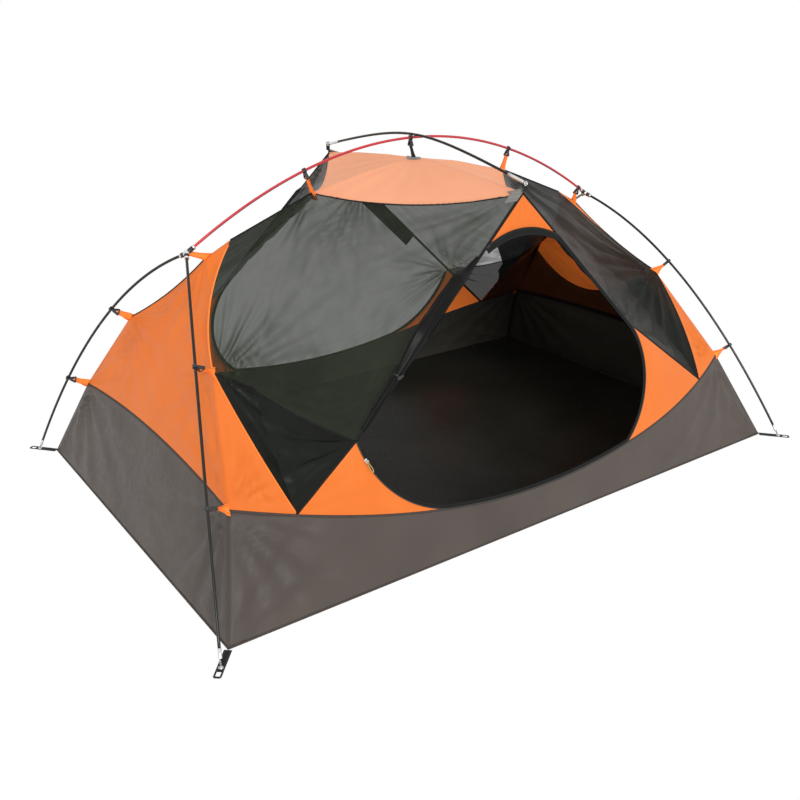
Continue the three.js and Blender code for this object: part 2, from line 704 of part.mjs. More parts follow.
put('back_zip_slider', slider(backSlider), 'silver', 0.8).rotation.z = Math.PI;
put('back_zip_pull', pull(backSlider), 'gold').rotation.z = Math.PI;

const ridgeStart = HUB_START / lengthOf(ridgePole);
put('ridge_pole_left', poleSection(ridgePole, ridgeStart, 0.5, { spigot: true }), 'red', 0.6);
put('ridge_pole_right', poleSection(ridgePole, 0.5, 1 - ridgeStart), 'red', 0.6);
put('brow_pole_front', poleSection(browPole, 0, 0.5, { spigot: true, tip: -1 }), 'grey', 0.6);
put('brow_pole_back', poleSection(browPole, 0.5, 1, { tip: 1 }), 'grey', 0.6);
put('brow_shock_cord', cordAlong(browPole, 0.05, 0.95), 'black');
put('frame_shock_cord', frameCord(), 'black');
const sides = [['left', -1], ['right', 1]];
const faces = [['front', -1], ['back', 1]];
for (const [side, sx] of sides) {
  put(`hub_${side}`, hub(sx), 'silver', 0.8);
  const roofClipT = (1 + sx * (ROOF_END.x + 25) / HUB.x) / 2;
  put(`clip_roof_${side}`, clip(ridgePole, roofClipT, flip(ROOF_END, sx, 1)), 'black');
  for (const [face, sy] of faces) {
    const leg = legLine(sx, sy);
    const legStart = HUB_START / lengthOf(leg);
    put(`leg_${face}_${side}_upper`, poleSection(leg, legStart, 0.5, { spigot: true }), 'pole', 0.6);
    put(`leg_${face}_${side}_lower`, poleSection(leg, 0.5, 1, { tip: 1 }), 'pole', 0.6);
    put(`clip_upper_${face}_${side}`, clip(leg, UPPER_CLIP, flip(UPPER_TAB, sx, sy)), 'black');
    put(`clip_lower_${face}_${side}`, clip(leg, LOWER_CLIP, flip(TUB_TAB, sx, sy)), 'black');
    put(`corner_strap_${face}_${side}`, cornerStrap(sx, sy), 'black');
  }
}
put('clip_peak_right', clip(ridgePole, (1 + PEAK_CLIP_X / HUB.x) / 2, PEAK), 'black');
put('clip_centre', clip(ridgePole, (1 - CENTRE_CLIP_X / HUB.x) / 2, ROOF_CENTRE), 'black');
for (const [face, sy] of faces) put(`brow_tab_${face}`, browTab(sy), 'black');

export default group;
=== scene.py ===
"""A two-person tent body on its poles, in metres. X runs along the ridge, the front door faces -Y."""
import math

import bpy
from mathutils import Matrix, Vector, noise


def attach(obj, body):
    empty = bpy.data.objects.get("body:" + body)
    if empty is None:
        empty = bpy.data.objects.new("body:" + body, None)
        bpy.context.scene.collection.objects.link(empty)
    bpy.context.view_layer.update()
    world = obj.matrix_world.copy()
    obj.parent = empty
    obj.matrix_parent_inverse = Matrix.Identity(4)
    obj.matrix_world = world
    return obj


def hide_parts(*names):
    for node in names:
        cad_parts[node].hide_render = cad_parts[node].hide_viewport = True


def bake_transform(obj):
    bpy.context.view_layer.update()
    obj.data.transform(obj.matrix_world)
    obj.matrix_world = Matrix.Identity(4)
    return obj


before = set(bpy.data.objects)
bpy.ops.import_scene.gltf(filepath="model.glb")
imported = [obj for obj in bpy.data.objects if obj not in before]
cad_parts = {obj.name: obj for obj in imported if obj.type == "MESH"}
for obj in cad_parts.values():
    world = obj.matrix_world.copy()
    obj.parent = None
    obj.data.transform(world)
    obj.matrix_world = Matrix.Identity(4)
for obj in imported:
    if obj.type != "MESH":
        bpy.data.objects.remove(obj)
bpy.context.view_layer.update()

# ---------- places, in metres ----------
FLOOR_X, FLOOR_Y = 1.12, 0.725
LEAN = math.atan(0.1814)
HUB = Vector((0.835, 0, 0.849))
RIDGE_TOP = 1.122
FOOT = Vector((1.166, 0.779, 0.0016))
LEG_FLARE = 0.625
POLE_R = 0.00425
BROW_Y, BROW_TOP, BROW_SLOPE, BROW_BEND = 0.559, 1.1315, 0.25, 0.26
UPPER_CLIP, LOWER_CLIP = 0.42, 0.735
PEAK_CLIP_X, CENTRE_CLIP_X = 0.796, 0.013
TUB_TAB = Vector((1.017, 0.559, 0.300))
UPPER_TAB = Vector((0.920, 0.314, 0.588))
PEAK = Vector((0.774, 0, 0.828))
WING_TOP = Vector((0.689, 0, 0.871))
ROOF_END = Vector((0.398, 0, 0.982))
ROOF_CENTRE = Vector((0, 0, 1.057))
TIP_UP = 1.032
WING_FOOT = 0.27
HINGE_LOW, HINGE_HIGH = (-0.667, 0.441), (-0.161, 0.890)
ARCH_TOP, ARCH_END = (-0.016, 0.930), (0.135, 0.890)
STRAIGHT_END, SIDE_MID = (0.440, 0.552), (0.494, 0.372)
SILL_END, SILL_UP, SILL_MID_UP = 0.390, 0.162, 0.125
LOW_MID = (-0.580, 0.280)
DOOR_FLAT, DOOR_AREA = (1.15, 0.92), 0.64
ZIP_STEPS, TOOTH_PITCH = 60, 0.0016
TOGGLE_AT = 0.69
ROOF_CLIP_X = 0.423
HUB_REACH = 0.014
GROMMET_R = 0.0042
SHEET_BASE = 0.002
# The rolled door's radius, at shares of the way down its hinge seam.
ROLL_BULK = (
    (0.06, 0.006), (0.14, 0.010), (0.2, 0.018), (0.5, 0.020),
    (TOGGLE_AT, 0.0095), (0.8, 0.0085), (0.95, 0.0055),
)
# A clip's tab: shares of the way from its corner to the clip's bar, and how wide it is there.
TAB_STATIONS = ((-0.5, 2.2), (-0.15, 1.8), (0.1, 1.5), (0.3, 1.2), (0.5, 1.0), (0.8, 0.85))
SIDES = (("left", -1), ("right", 1))
FACES = (("front", -1), ("back", 1))


# ---------- camera ----------
CAMERA_AT = Vector((-1.8846, -2.5612, 1.5035))
CAMERA_TURN = (-35.46, 22.70, -0.24)
CAMERA_LENS = 41.625


def make_camera():
    azimuth, elevation, roll = (math.radians(a) for a in CAMERA_TURN)
    back = Vector((
        math.sin(azimuth) * math.cos(elevation),
        -math.cos(azimuth) * math.cos(elevation),
        math.sin(elevation),
    ))
    right = Vector((0, 0, 1)).cross(back).normalized()
    up = back.cross(right)
    rolled = right * math.cos(roll) + up * math.sin(roll)
    upright = up * math.cos(roll) - right * math.sin(roll)
    data = bpy.data.cameras.new("camera")
    data.lens, data.sensor_width = CAMERA_LENS, 36
    camera = bpy.data.objects.new("camera", data)
    axes = Matrix((rolled, upright, back)).transposed().to_4x4()
    camera.matrix_world = Matrix.Translation(CAMERA_AT) @ axes
    bpy.context.collection.objects.link(camera)
    bpy.context.scene.camera = camera


make_camera()


# ---------- curves ----------
def line(a, b):
    return lambda t: a.lerp(b, t)


def bend(a, c, b):
    return lambda t: a.lerp(c, t).lerp(c.lerp(b, t), t)


def joined(first, second):
    return lambda t: first(2 * t) if t < 0.5 else second(2 * t - 1)


def part_of(curve, start, end):
    return lambda t: curve(start + (end - start) * t)


def flip(p, sx, sy):
    return Vector((p.x * sx, p.y * sy, p.z))


def turned(p):
    return Vector((-p.x, -p.y, p.z))


def unturned(p):
    return p.copy()


def steps(count):
    return [i / count for i in range(count + 1)]


def tangent(curve, t):
    return (curve(min(1, t + 0.002)) - curve(max(0, t - 0.002))).normalized()


def length_of(curve):
    points = [curve(t) for t in steps(200)]
    return sum((b - a).length for a, b in zip(points, points[1:]))


def arc(start, through, end):
    (ax, ay), (bx, by), (cx, cy) = start, through, end
    d = 2 * (ax * (by - cy) + bx * (cy - ay) + cx * (ay - by))
    a, b, c = ax * ax + ay * ay, bx * bx + by * by, cx * cx + cy * cy
    x = (a * (by - cy) + b * (cy - ay) + c * (ay - by)) / d
    y = (a * (cx - bx) + b * (ax - cx) + c * (bx - ax)) / d
    first = math.atan2(ay - y, ax - x)

    def swept(px, py):
        return (math.atan2(py - y, px - x) - first) % (2 * math.pi)

    sweep = swept(cx, cy) if swept(bx, by) < swept(cx, cy) else swept(cx, cy) - 2 * math.pi
    radius = math.hypot(ax - x, ay - y)
    return lambda t: (x + radius * math.cos(first + sweep * t), y + radius * math.sin(first + sweep * t))


# ---------- seams of the front wall, and of the ends ----------
def door_point(flat):
    return Vector((flat[0], -FLOOR_Y + flat[1] * math.sin(LEAN), flat[1] * math.cos(LEAN)))


def on_door(curve):
    return lambda t: door_point(curve(t))


OUTWARD = Vector((0, -math.cos(LEAN), math.sin(LEAN)))
TIP = door_point((0, TIP_UP))
arch_arc = arc(HINGE_HIGH, ARCH_TOP, ARCH_END)
side_arc = arc(STRAIGHT_END, SIDE_MID, (SILL_END, SILL_UP))
sill_arc = arc((SILL_END, SILL_UP), (0, SILL_MID_UP), (-SILL_END, SILL_UP))
low_arc = arc((-SILL_END, SILL_UP), LOW_MID, HINGE_LOW)
hinge_seam = line(door_point(HINGE_LOW), TIP)
straight_seam = line(door_point(STRAIGHT_END), TIP)
door_hinge = line(door_point(HINGE_LOW), door_point(HINGE_HIGH))


def tub_top(sx):
    low = Vector((0.7 * sx, -0.693, 0.218))
    return bend(flip(TUB_TAB, sx, -1), low, door_point((SILL_END * sx, SILL_UP)))


def wing_foot(sx):
    return tub_top(sx)(WING_FOOT)


def wing_seam(sx, hinged):
    """Where an end meets the mesh. Beside the straight seam it follows the end's upper edge."""
    middle = flip(UPPER_TAB, sx, -1)
    low = bend(wing_foot(sx), Vector((0.905 * sx, -0.5, 0.425)), middle)
    if hinged:
        return joined(low, bend(middle, Vector((0.870 * sx, -0.130, 0.735)), flip(WING_TOP, sx, 1)))
    parting = flip(WING_TOP, sx, 1) - flip(PEAK, sx, 1)
    return joined(low, lambda t: upper_edge(sx, -1)(t) + parting * t ** 4)


def upper_edge(sx, sy):
    return bend(flip(UPPER_TAB, sx, sy), Vector((0.838 * sx, 0.146 * sy, 0.684)), flip(PEAK, sx, 1))


def corner_edge(sx, sy):
    return joined(line(flip(TUB_TAB, sx, sy), flip(UPPER_TAB, sx, sy)), upper_edge(sx, sy))


def roof_edge(sx, sy):
    return bend(flip(ROOF_END, sx, 1), Vector((0.194 * sx, 0.257 * sy, 0.924)), flip(TIP, 1, -sy))


def end_tub_top(sx):
    return bend(flip(TUB_TAB, sx, -1), Vector((0.997 * sx, 0, 0.360)), flip(TUB_TAB, sx, 1))


def zip_path():
    def straight(t):
        return tuple(a + (b - a) * t for a, b in zip(STRAIGHT_END, ARCH_END))

    def back(curve):
        return lambda t: curve(1 - t)

    runs = [back(low_arc), back(sill_arc), back(side_arc), straight, back(arch_arc)]
    points = []
    for run in runs:
        points += [run(t) for t in steps(ZIP_STEPS)][1 if points else 0:]
    return points


# ---------- poles ----------
def leg_line(sx, sy):
    def at(t):
        drop = (HUB.z - FOOT.z) * ((1 - LEG_FLARE) * t + LEG_FLARE * t * t)
        return Vector((sx * (HUB.x + (FOOT.x - HUB.x) * t), sy * FOOT.y * t, HUB.z - drop))
    return at


def ridge_line(t):
    x = HUB.x * (2 * t - 1)
    return Vector((x, 0, RIDGE_TOP - (RIDGE_TOP - HUB.z) * (x / HUB.x) ** 2))


def brow_line(t):
    y = BROW_Y * (2 * t - 1)
    return Vector((0, y, BROW_TOP - BROW_SLOPE * (math.hypot(y, BROW_BEND) - BROW_BEND)))


# ---------- materials ----------
class Look:
    """One node material, with a few short helpers for its procedural detail."""

    def __init__(self, name, roughness, metallic=0.0, sheen=0.0, coat=0.0, alpha=1.0, specular=0.5):
        self.material = bpy.data.materials.new(name)
        self.material.use_nodes = True
        self.tree = self.material.node_tree
        self.shader = self.tree.nodes["Principled BSDF"]
        values = {
            "Roughness": roughness, "Metallic": metallic, "Sheen Weight": sheen, "Sheen Roughness": 0.45,
            "Coat Weight": coat, "Alpha": alpha, "Specular IOR Level": specular,
        }
        for label, value in values.items():
            self.shader.inputs[label].default_value = value
        self.heights = []

    def node(self, kind, **values):
        made = self.tree.nodes.new(kind)
        for name, value in values.items():
            if hasattr(made, name):
                setattr(made, name, value)
            else:
                made.inputs[name.replace("_", " ")].default_value = value
        return made

    def link(self, source, target):
        self.tree.links.new(source, target)

    def where(self, space="Object"):
        return self.node("ShaderNodeTexCoord").outputs[space]

    def scaled(self, vector, size):
        mapping = self.node("ShaderNodeMapping", Scale=size)
        self.link(vector, mapping.inputs["Vector"])
        return mapping.outputs["Vector"]

    def maths(self, operation, first, second=0.5):
        made = self.node("ShaderNodeMath", operation=operation)
        for socket, value in zip(made.inputs, (first, second)):
            if isinstance(value, (int, float)):
                socket.default_value = value
            else:
                self.link(value, socket)
        return made.outputs[0]

    def noise(self, vector, scale, detail=3.0):
        made = self.node("ShaderNodeTexNoise", Scale=scale, Detail=detail)
        self.link(vector, made.inputs["Vector"])
        return made.outputs[0]

    def ramp(self, factor, low, high, start=0.3, end=0.7):
        made = self.node("ShaderNodeMapRange", From_Min=start, From_Max=end, To_Min=low, To_Max=high)
        self.link(factor, made.inputs["Value"])
        return made.outputs[0]

    def blend_colours(self, factor, first, second):
        made = self.node("ShaderNodeMix", data_type="RGBA")
        self.link(factor, made.inputs[0])
        for socket, value in ((made.inputs[6], first), (made.inputs[7], second)):
            if isinstance(value, tuple):
                socket.default_value = (*value, 1)
            else:
                self.link(value, socket)
        return made.outputs[2]

    def threads(self, vector, pitch, axis):
        """Waves across one axis: 0 to 1 and back every pitch."""
        made = self.node("ShaderNodeTexWave", bands_direction=axis, wave_profile="SIN")
        made.inputs["Scale"].default_value = math.pi / 10 / pitch
        self.link(vector, made.inputs["Vector"])
        return made.outputs["Fac"]

    def plain_weave(self, vector, pitch, strength):
        across, along = self.threads(vector, pitch, "X"), self.threads(vector, pitch, "Y")
        self.raise_by(self.maths("MAXIMUM", across, along), strength)

    def raise_by(self, height, strength):
        self.heights.append(self.maths("MULTIPLY", height, strength))

    def colour(self, socket):
        if isinstance(socket, tuple):
            self.shader.inputs["Base Color"].default_value = (*socket, 1)
        else:
            self.link(socket, self.shader.inputs["Base Color"])
            self.shade = socket

    def rough(self, socket):
        self.link(socket, self.shader.inputs["Roughness"])

    def done(self, bump=0.5, distance=0.001):
        if self.heights:
            total = self.heights[0]
            for more in self.heights[1:]:
                total = self.maths("ADD", total, more)
            bumped = self.node("ShaderNodeBump", Strength=bump, Distance=distance)
            self.link(total, bumped.inputs["Height"])
            self.link(bumped.outputs["Normal"], self.shader.inputs["Normal"])
        return self.material

    def lit_through(self, share):
        """Lets a share of the light through thin cloth."""
        if not share:
            return
        through = self.node("ShaderNodeBsdfTranslucent")
        self.link(self.shade, through.inputs["Color"])
        mixed = self.node("ShaderNodeMixShader")
        mixed.inputs[0].default_value = share
        self.link(self.shader.outputs[0], mixed.inputs[1])
        self.link(through.outputs[0], mixed.inputs[2])
        self.link(mixed.outputs[0], self.tree.nodes["Material Output"].inputs["Surface"])


def ripstop(name, dark, light, through, roughness=0.42, specular=0.2):
    """Coated nylon: a fine plain weave with thicker threads every 5 mm, and slow shade changes."""
    look = Look(name, roughness, specular=specular)
    flat = look.where("UV")
    grid = look.maths("MAXIMUM", look.threads(flat, 0.005, "X"), look.threads(flat, 0.005, "Y"))
    thick = look.ramp(grid, 0, 1, 0.93, 1.0)
    broad = look.noise(look.where(), 3.0)
    fine = look.noise(look.where(), 60.0)
    tone = look.blend_colours(look.ramp(broad, 0, 1), dark, light)
    lined = look.blend_colours(look.maths("MULTIPLY", thick, 0.16), tone, tuple(0.7 * c for c in dark))
    look.colour(lined)
    look.rough(look.ramp(fine, roughness - 0.05, roughness + 0.08))
    look.plain_weave(flat, 0.0006, 0.05)
    look.raise_by(thick, 0.08)
    look.raise_by(look.noise(look.scaled(look.where(), (1, 1, 2)), 28.0, 2.0), 0.5)
    material = look.done(0.35, 0.0015)
    look.lit_through(through)
    return material


def netting(name, tone, alpha):
    """Fine mesh: threads in the bump, holes in the alpha, which closes where the cloth is bunched."""
    look = Look(name, 0.36, alpha=alpha, specular=0.10)
    flat = look.where("UV")
    if alpha < 0.9:
        bunched = look.node("ShaderNodeAttribute", attribute_name="bunched").outputs["Fac"]
        closed = look.maths("ADD", look.maths("MULTIPLY", bunched, 0.9), alpha)
        look.link(look.maths("MINIMUM", closed, 0.92), look.shader.inputs["Alpha"])
    broad = look.noise(look.where(), 5.0)
    look.colour(look.blend_colours(look.ramp(broad, 0, 1), tone, tuple(1.5 * c for c in tone)))
    look.plain_weave(flat, 0.0012, 0.3)
    return look.done(0.2, 0.0006)


def webbing(name, tone, thread, pitch=0.0016):
    """Woven tape, its u along the tape in metres: ribs across it and a stitched line at each edge."""
    look = Look(name, 0.7, specular=0.12)
    flat = look.where("UV")
    parts = look.node("ShaderNodeSeparateXYZ")
    look.link(flat, parts.inputs[0])
    u, v = parts.outputs[0], parts.outputs[1]
    ribs = look.threads(flat, pitch, "X")
    middle = look.maths("ABSOLUTE", look.maths("SUBTRACT", v, 0.5))
    edge = look.maths("ABSOLUTE", look.maths("SUBTRACT", middle, 0.34))
    inline = look.maths("LESS_THAN", edge, 0.045)
    dash = look.maths("LESS_THAN", look.maths("FRACT", look.maths("DIVIDE", u, 0.0035)), 0.68)
    stitch = look.maths("MULTIPLY", inline, dash)
    worn = look.blend_colours(look.noise(look.where(), 40.0), tone, tuple(1.6 * c for c in tone))
    look.colour(look.blend_colours(stitch, worn, thread))
    look.raise_by(ribs, 0.25)
    look.raise_by(stitch, 0.6)
    return look.done(0.6, 0.0006)


def tube_metal(name, tone, roughness, metallic=0.85):
    """Anodised tube: fine drawn scratches along it and a slightly uneven gloss."""
    look = Look(name, roughness, metallic=metallic, coat=0.1)
    spots = look.noise(look.where(), 90.0, 4.0)
    broad = look.noise(look.where(), 7.0)
    look.colour(look.blend_colours(look.ramp(broad, 0, 1), tone, tuple(1.25 * c for c in tone)))
    look.rough(look.ramp(spots, roughness - 0.02, roughness + 0.06))
    look.raise_by(spots, 0.05)
    return look.done(0.2, 0.0003)


def moulded(name, tone, roughness=0.45):
    """Moulded plastic with a fine grain."""
    look = Look(name, roughness)
    grain = look.noise(look.where(), 900.0, 2.0)
    look.colour(look.blend_colours(look.noise(look.where(), 50.0), tone, tuple(1.7 * c for c in tone)))
    look.rough(look.ramp(grain, roughness - 0.05, roughness + 0.1))
    look.raise_by(grain, 0.4)
    return look.done(0.3, 0.0002)


def braided(name, tone, second):
    """Braided cord: diamonds of two tones."""
    look = Look(name, 0.65, sheen=0.2)
    plait = look.node("ShaderNodeTexWave", bands_direction="DIAGONAL", Scale=160)
    look.link(look.where(), plait.inputs["Vector"])
    look.colour(look.blend_colours(plait.outputs["Fac"], tone, second))
    look.raise_by(plait.outputs["Fac"], 0.5)
    return look.done(0.5, 0.0004)


LOOKS = {
    "orange": ripstop("orange_ripstop", (0.80, 0.178, 0.026), (0.88, 0.213, 0.038), 0.22, specular=0.18),
    # The roof's ripstop is the orange cloth drawn paler: the paler colour paints the top light and sheen on
    # the roof.
    "roof": ripstop("roof_ripstop_painted_top_light", (0.90, 0.390, 0.215), (0.95, 0.430, 0.245), 0.25, 0.5, 0.12),
    "tub": ripstop("tub_taffeta", (0.064, 0.052, 0.045), (0.084, 0.069, 0.060), 0.02, specular=0.18),
    # The tub's inner face: its coating drawn darker than the outside, which paints the shade inside the
    # tent.
    "tub_inside": ripstop("tub_inner_painted_shade", (0.036, 0.036, 0.029), (0.052, 0.051, 0.043), 0.0, 0.45),
    # The floor cloth is drawn far darker than the tub walls: the dark paints the shade inside the tent.
    "floor": ripstop("floor_cloth", (0.013, 0.014, 0.011), (0.024, 0.025, 0.021), 0.02, 0.36),
    "patch": ripstop("patch_cloth", (0.19, 0.180, 0.165), (0.28, 0.262, 0.240), 0.10, 0.5),
    "mesh": netting("wall_mesh", (0.0150, 0.0190, 0.0115), 0.600),
    "dense": netting("dense_mesh", (0.0062, 0.0072, 0.0056), 0.94),
    "lining": netting("lining_mesh", (0.0085, 0.0090, 0.0095), 0.955),
    "flap": netting("flap_mesh", (0.0095, 0.0098, 0.0092), 0.97),
    # The rolled door is the wall mesh, opaque as it is wound many times over, and drawn much darker: the
    # dark paints the shade between its windings.
    "rolled": netting("rolled_mesh_painted_shade", (0.0030, 0.0034, 0.0028), 1.0),
    "black_tape": webbing("black_binding", (0.0060, 0.0068, 0.0060), (0.026, 0.027, 0.026)),
    "orange_tape": webbing("orange_binding", (0.80, 0.180, 0.030), (0.60, 0.130, 0.022)),
    "tub_tape": webbing("tub_binding", (0.046, 0.037, 0.032), (0.030, 0.024, 0.021)),
    "black_webbing": webbing("black_webbing", (0.014, 0.014, 0.015), (0.06, 0.06, 0.06), 0.0022),
    "red_pole": tube_metal("red_anodised", (0.50, 0.045, 0.060), 0.30, 0.7),
    "grey_pole": tube_metal("grey_anodised", (0.014, 0.016, 0.015), 0.26),
    "black_pole": tube_metal("black_anodised", (0.024, 0.024, 0.021), 0.24, 0.8),
    "silver": tube_metal("bright_metal", (0.62, 0.62, 0.60), 0.25, 1.0),
    "plastic": moulded("black_acetal", (0.012, 0.012, 0.013)),
    "gold": braided("golden_cord", (0.62, 0.40, 0.10), (0.36, 0.22, 0.05)),
    "cord": braided("black_cord", (0.012, 0.012, 0.012), (0.05, 0.05, 0.05)),
}


# ---------- meshes ----------
def add_object(name, points, faces, look, body="root", uvs=None, smooth=True):
    """A mesh object that rides on a body. uvs holds one pair for each point."""
    data = bpy.data.meshes.new(name)
    data.from_pydata([tuple(p) for p in points], [], faces)
    if uvs:
        layer = data.uv_layers.new(name="UVMap")
        for loop in data.loops:
            layer.data[loop.index].uv = uvs[loop.vertex_index]
    data.polygons.foreach_set("use_smooth", [smooth] * len(data.polygons))
    data.materials.append(LOOKS[look])
    made = bpy.data.objects.new(name, data)
    bpy.context.collection.objects.link(made)
    if body:
        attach(made, body)
    return made


def add_rings(name, rings, look, body="root", uvs=None, reverse=False):
    """A closed skin over rings of points, one after another. reverse is for rings that run clockwise."""
    sides = len(rings[0])
    faces = []
    for low in range(0, (len(rings) - 1) * sides, sides):
        high = low + sides
        for k in range(sides):
            j = (k + 1) % sides
            faces.append((low + k, high + k, high + j, low + j))
    faces.append(tuple(range(sides)))
    faces.append(tuple((len(rings) - 1) * sides + k for k in range(sides))[::-1])
    if reverse:
        faces = [(face[0], *face[:0:-1]) for face in faces]
    points = [p for ring in rings for p in ring]
    return add_object(name, points, faces, look, body, uvs)


def square_to(way):
    """Two directions square to a way and to each other."""
    side = way.cross(Vector((0, 0, 1)) if abs(way.z) < 0.9 else Vector((1, 0, 0))).normalized()
    return side, way.cross(side)


def ring_of(centre, side, up, radius, count):
    turns = [2 * math.pi * k / count for k in range(count)]
    return [centre + (side * math.cos(a) + up * math.sin(a)) * radius for a in turns]


def chord(points, i):
    """From the point before the given one to the point after it."""
    return points[min(i + 1, len(points) - 1)] - points[max(i - 1, 0)]


def moved(grid, place):
    return [[place(p) for p in row] for row in grid]


def patch(left, right, bottom, top, across, up):
    """Grid of points, rows up, on the stretched surface between four edge curves."""
    low = [bottom(u) for u in steps(across)]
    high = [top(u) for u in steps(across)]
    rows = []
    for v in steps(up):
        start, end = left(v), right(v)
        row = []
        for i, u in enumerate(steps(across)):
            ends = low[0].lerp(low[-1], u).lerp(high[0].lerp(high[-1], u), v)
            row.append(start.lerp(end, u) + low[i].lerp(high[i], v) - ends)
        rows.append(row)
    return rows


def between(grid, r, c):
    """The point at a fractional row and column of a grid."""
    i, j = min(len(grid) - 2, int(r)), min(len(grid[0]) - 2, int(c))
    low = grid[i][j].lerp(grid[i][j + 1], c - j)
    high = grid[i + 1][j].lerp(grid[i + 1][j + 1], c - j)
    return low.lerp(high, r - i)


def axes_of(grid):
    """Two axes along a panel and the one that points out of the tent."""
    first = max((row[-1] - row[0] for row in grid), key=lambda way: way.length).normalized()
    rise = grid[-1][len(grid[0]) // 2] - grid[0][len(grid[0]) // 2]
    out = first.cross(rise).normalized()
    middle = grid[len(grid) // 2][len(grid[0]) // 2]
    if out.dot(middle - Vector((0, 0, 0.35))) < 0:
        out.negate()
    return first, out.cross(first), out


def fold_height(p, first, second, folds):
    """How far radiating folds lift the point p. A fold: start, count, height, reach."""
    total = 0.0
    for start, count, height, reach in folds:
        d = p - start
        r = d.length
        angle = math.atan2(d.dot(second), d.dot(first))
        wander = 1.6 * noise.noise(p * 5 + start * 3)
        wave = math.sin(count * angle + wander) + 0.35 * math.sin(2.3 * count * angle - wander)
        grow = min(1.0, r / 0.05)
        total += height * grow * math.exp(-r / reach) * wave
    return total


def creased(grid, folds, crumple, hold=0.05, sag=0.0):
    """The grid with folds and a fine crumple that fade out towards its edges."""
    first, second, out = axes_of(grid)
    rows, cols = len(grid), len(grid[0])
    made = []
    for r in range(rows):
        row = []
        for c in range(cols):
            p = grid[r][c]
            edges = (grid[r][0], grid[r][-1], grid[0][c], grid[-1][c])
            near = min((p - e).length for e in edges)
            fade = min(1.0, near / hold) ** 1.3
            fine = noise.noise(p * 11) + 0.5 * noise.noise(p * 27)
            broad = noise.noise(p * 3.1 + out)
            height = fold_height(p, first, second, folds) + crumple * (fine + 2.2 * broad)
            row.append(p + out * (fade * height - sag * min(1.0, near / 0.3)))
        made.append(row)
    return made


def merged(grid):
    """Points, faces and flat coordinates of a grid, with points that coincide made one."""
    first, second, out = axes_of(grid)
    index, points, uvs = {}, [], []
    numbers = []
    for row in grid:
        line_numbers = []
        for p in row:
            key = tuple(round(c, 5) for c in p)
            if key not in index:
                index[key] = len(points)
                points.append(p)
                uvs.append((p.dot(first), p.dot(second)))
            line_numbers.append(index[key])
        numbers.append(line_numbers)
    faces = []
    for low, high in zip(numbers, numbers[1:]):
        for i in range(len(low) - 1):
            loop = list(dict.fromkeys((low[i], low[i + 1], high[i + 1], high[i])))
            if len(loop) > 2:
                faces.append(loop)
    facing = 0.0
    for face in faces:
        a, b, c = (points[i] for i in face[:3])
        facing += (b - a).cross(c - a).dot(out)
    if facing < 0:
        faces = [face[::-1] for face in faces]
    return points, faces, uvs


def cloth(name, grid, look, nodes=(), body="root", inside=None):
    """One sheet of cloth from a grid of points, with its own coating inside where one is named; the tub's
    inner coating is drawn darker, as painted shade inside the tent.
    """
    points, faces, uvs = merged(grid)
    made = add_object(name, points, faces, look, body, uvs=uvs)
    mark_bunched(made)
    if inside:
        made.data.materials.append(LOOKS[inside])
        thick = made.modifiers.new("coating", "SOLIDIFY")
        thick.thickness, thick.offset, thick.material_offset = 0.0008, -1, 1
    if nodes:
        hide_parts(*nodes)
    return made


def mark_bunched(made):
    """Keeps, for each point, how steeply its folds stand against the panel."""
    layer = made.data.attributes.new("bunched", "FLOAT", "POINT")
    near = [[] for _ in made.data.vertices]
    for edge in made.data.edges:
        a, b = edge.vertices
        near[a].append(b)
        near[b].append(a)
    normals = [v.normal.copy() for v in made.data.vertices]
    broad = normals
    for _ in range(6):
        broad = [(n + sum((broad[k] for k in near[i]), Vector((0, 0, 0)))).normalized()
                 for i, n in enumerate(broad)]
    for i, normal in enumerate(normals):
        layer.data[i].value = min(0.35, (normal - broad[i]).length)


def strap(name, points, across, width, thick, look, body="root"):
    """A flat tape along points. across gives each point's direction over the tape's width."""
    rings, flat, run = [], [], 0.0
    widths = width if isinstance(width, list) else [width] * len(points)
    for i, p in enumerate(points):
        along = chord(points, i).normalized()
        side = across[i] - along * across[i].dot(along)
        side.normalize()
        up = along.cross(side)
        if i:
            run += (p - points[i - 1]).length
        ring = []
        for x, z in ((-1, -1), (-1, 1), (0, 1), (1, 1), (1, -1), (0, -1)):
            bulge = 1.0 if x == 0 else 0.55
            ring.append(p + side * (x * widths[i] / 2) + up * (z * bulge * thick / 2))
            flat.append((run, 0.5 + x / 2))
        rings.append(ring)
    return add_rings(name, rings, look, body, flat, reverse=True)


def seam_tape(name, curve, width, place):
    """A black binding on a seam of a long wall, flat against the wall."""
    points = [place(curve(t)) for t in steps(60)]
    across = [tangent(lambda t: place(curve(t)), t).cross(place(OUTWARD)) for t in steps(60)]
    strap(name, points, across, width, 0.0016, "black_tape")


def hem(name, edge, inner, width, look, thick=0.0022):
    """A binding folded over the edge of a panel, towards its inner points."""
    across = [(b - a).normalized() for a, b in zip(edge, inner)]
    middle = [p + side * (width / 2 - 0.001) for p, side in zip(edge, across)]
    strap(name, middle, across, width, thick, look)


def side_of(grid, side, depth=3):
    """The points along one side of a grid, and those a few steps further in."""
    if side in ("left", "right"):
        a, b = (0, depth) if side == "left" else (-1, -1 - depth)
        return [row[a] for row in grid[:-2]], [row[b] for row in grid[:-2]]
    a, b = (0, depth) if side == "bottom" else (-1, -1 - depth)
    return list(grid[a]), list(grid[b])


def lathed(name, start, way, profile, look):
    """A turned piece: profile holds (distance along, radius) pairs."""
    way = way.normalized()
    side, up = square_to(way)
    rings = [ring_of(start + way * along, side, up, radius, 24) for along, radius in profile]
    return add_rings(name, rings, look)


def swept(name, curve, stations, look):
    """A round bar along a curve: stations hold (t, radius) pairs."""
    rings = [ring_of(curve(t), *square_to(tangent(curve, t)), radius, 20) for t, radius in stations]
    return add_rings(name, rings, look)


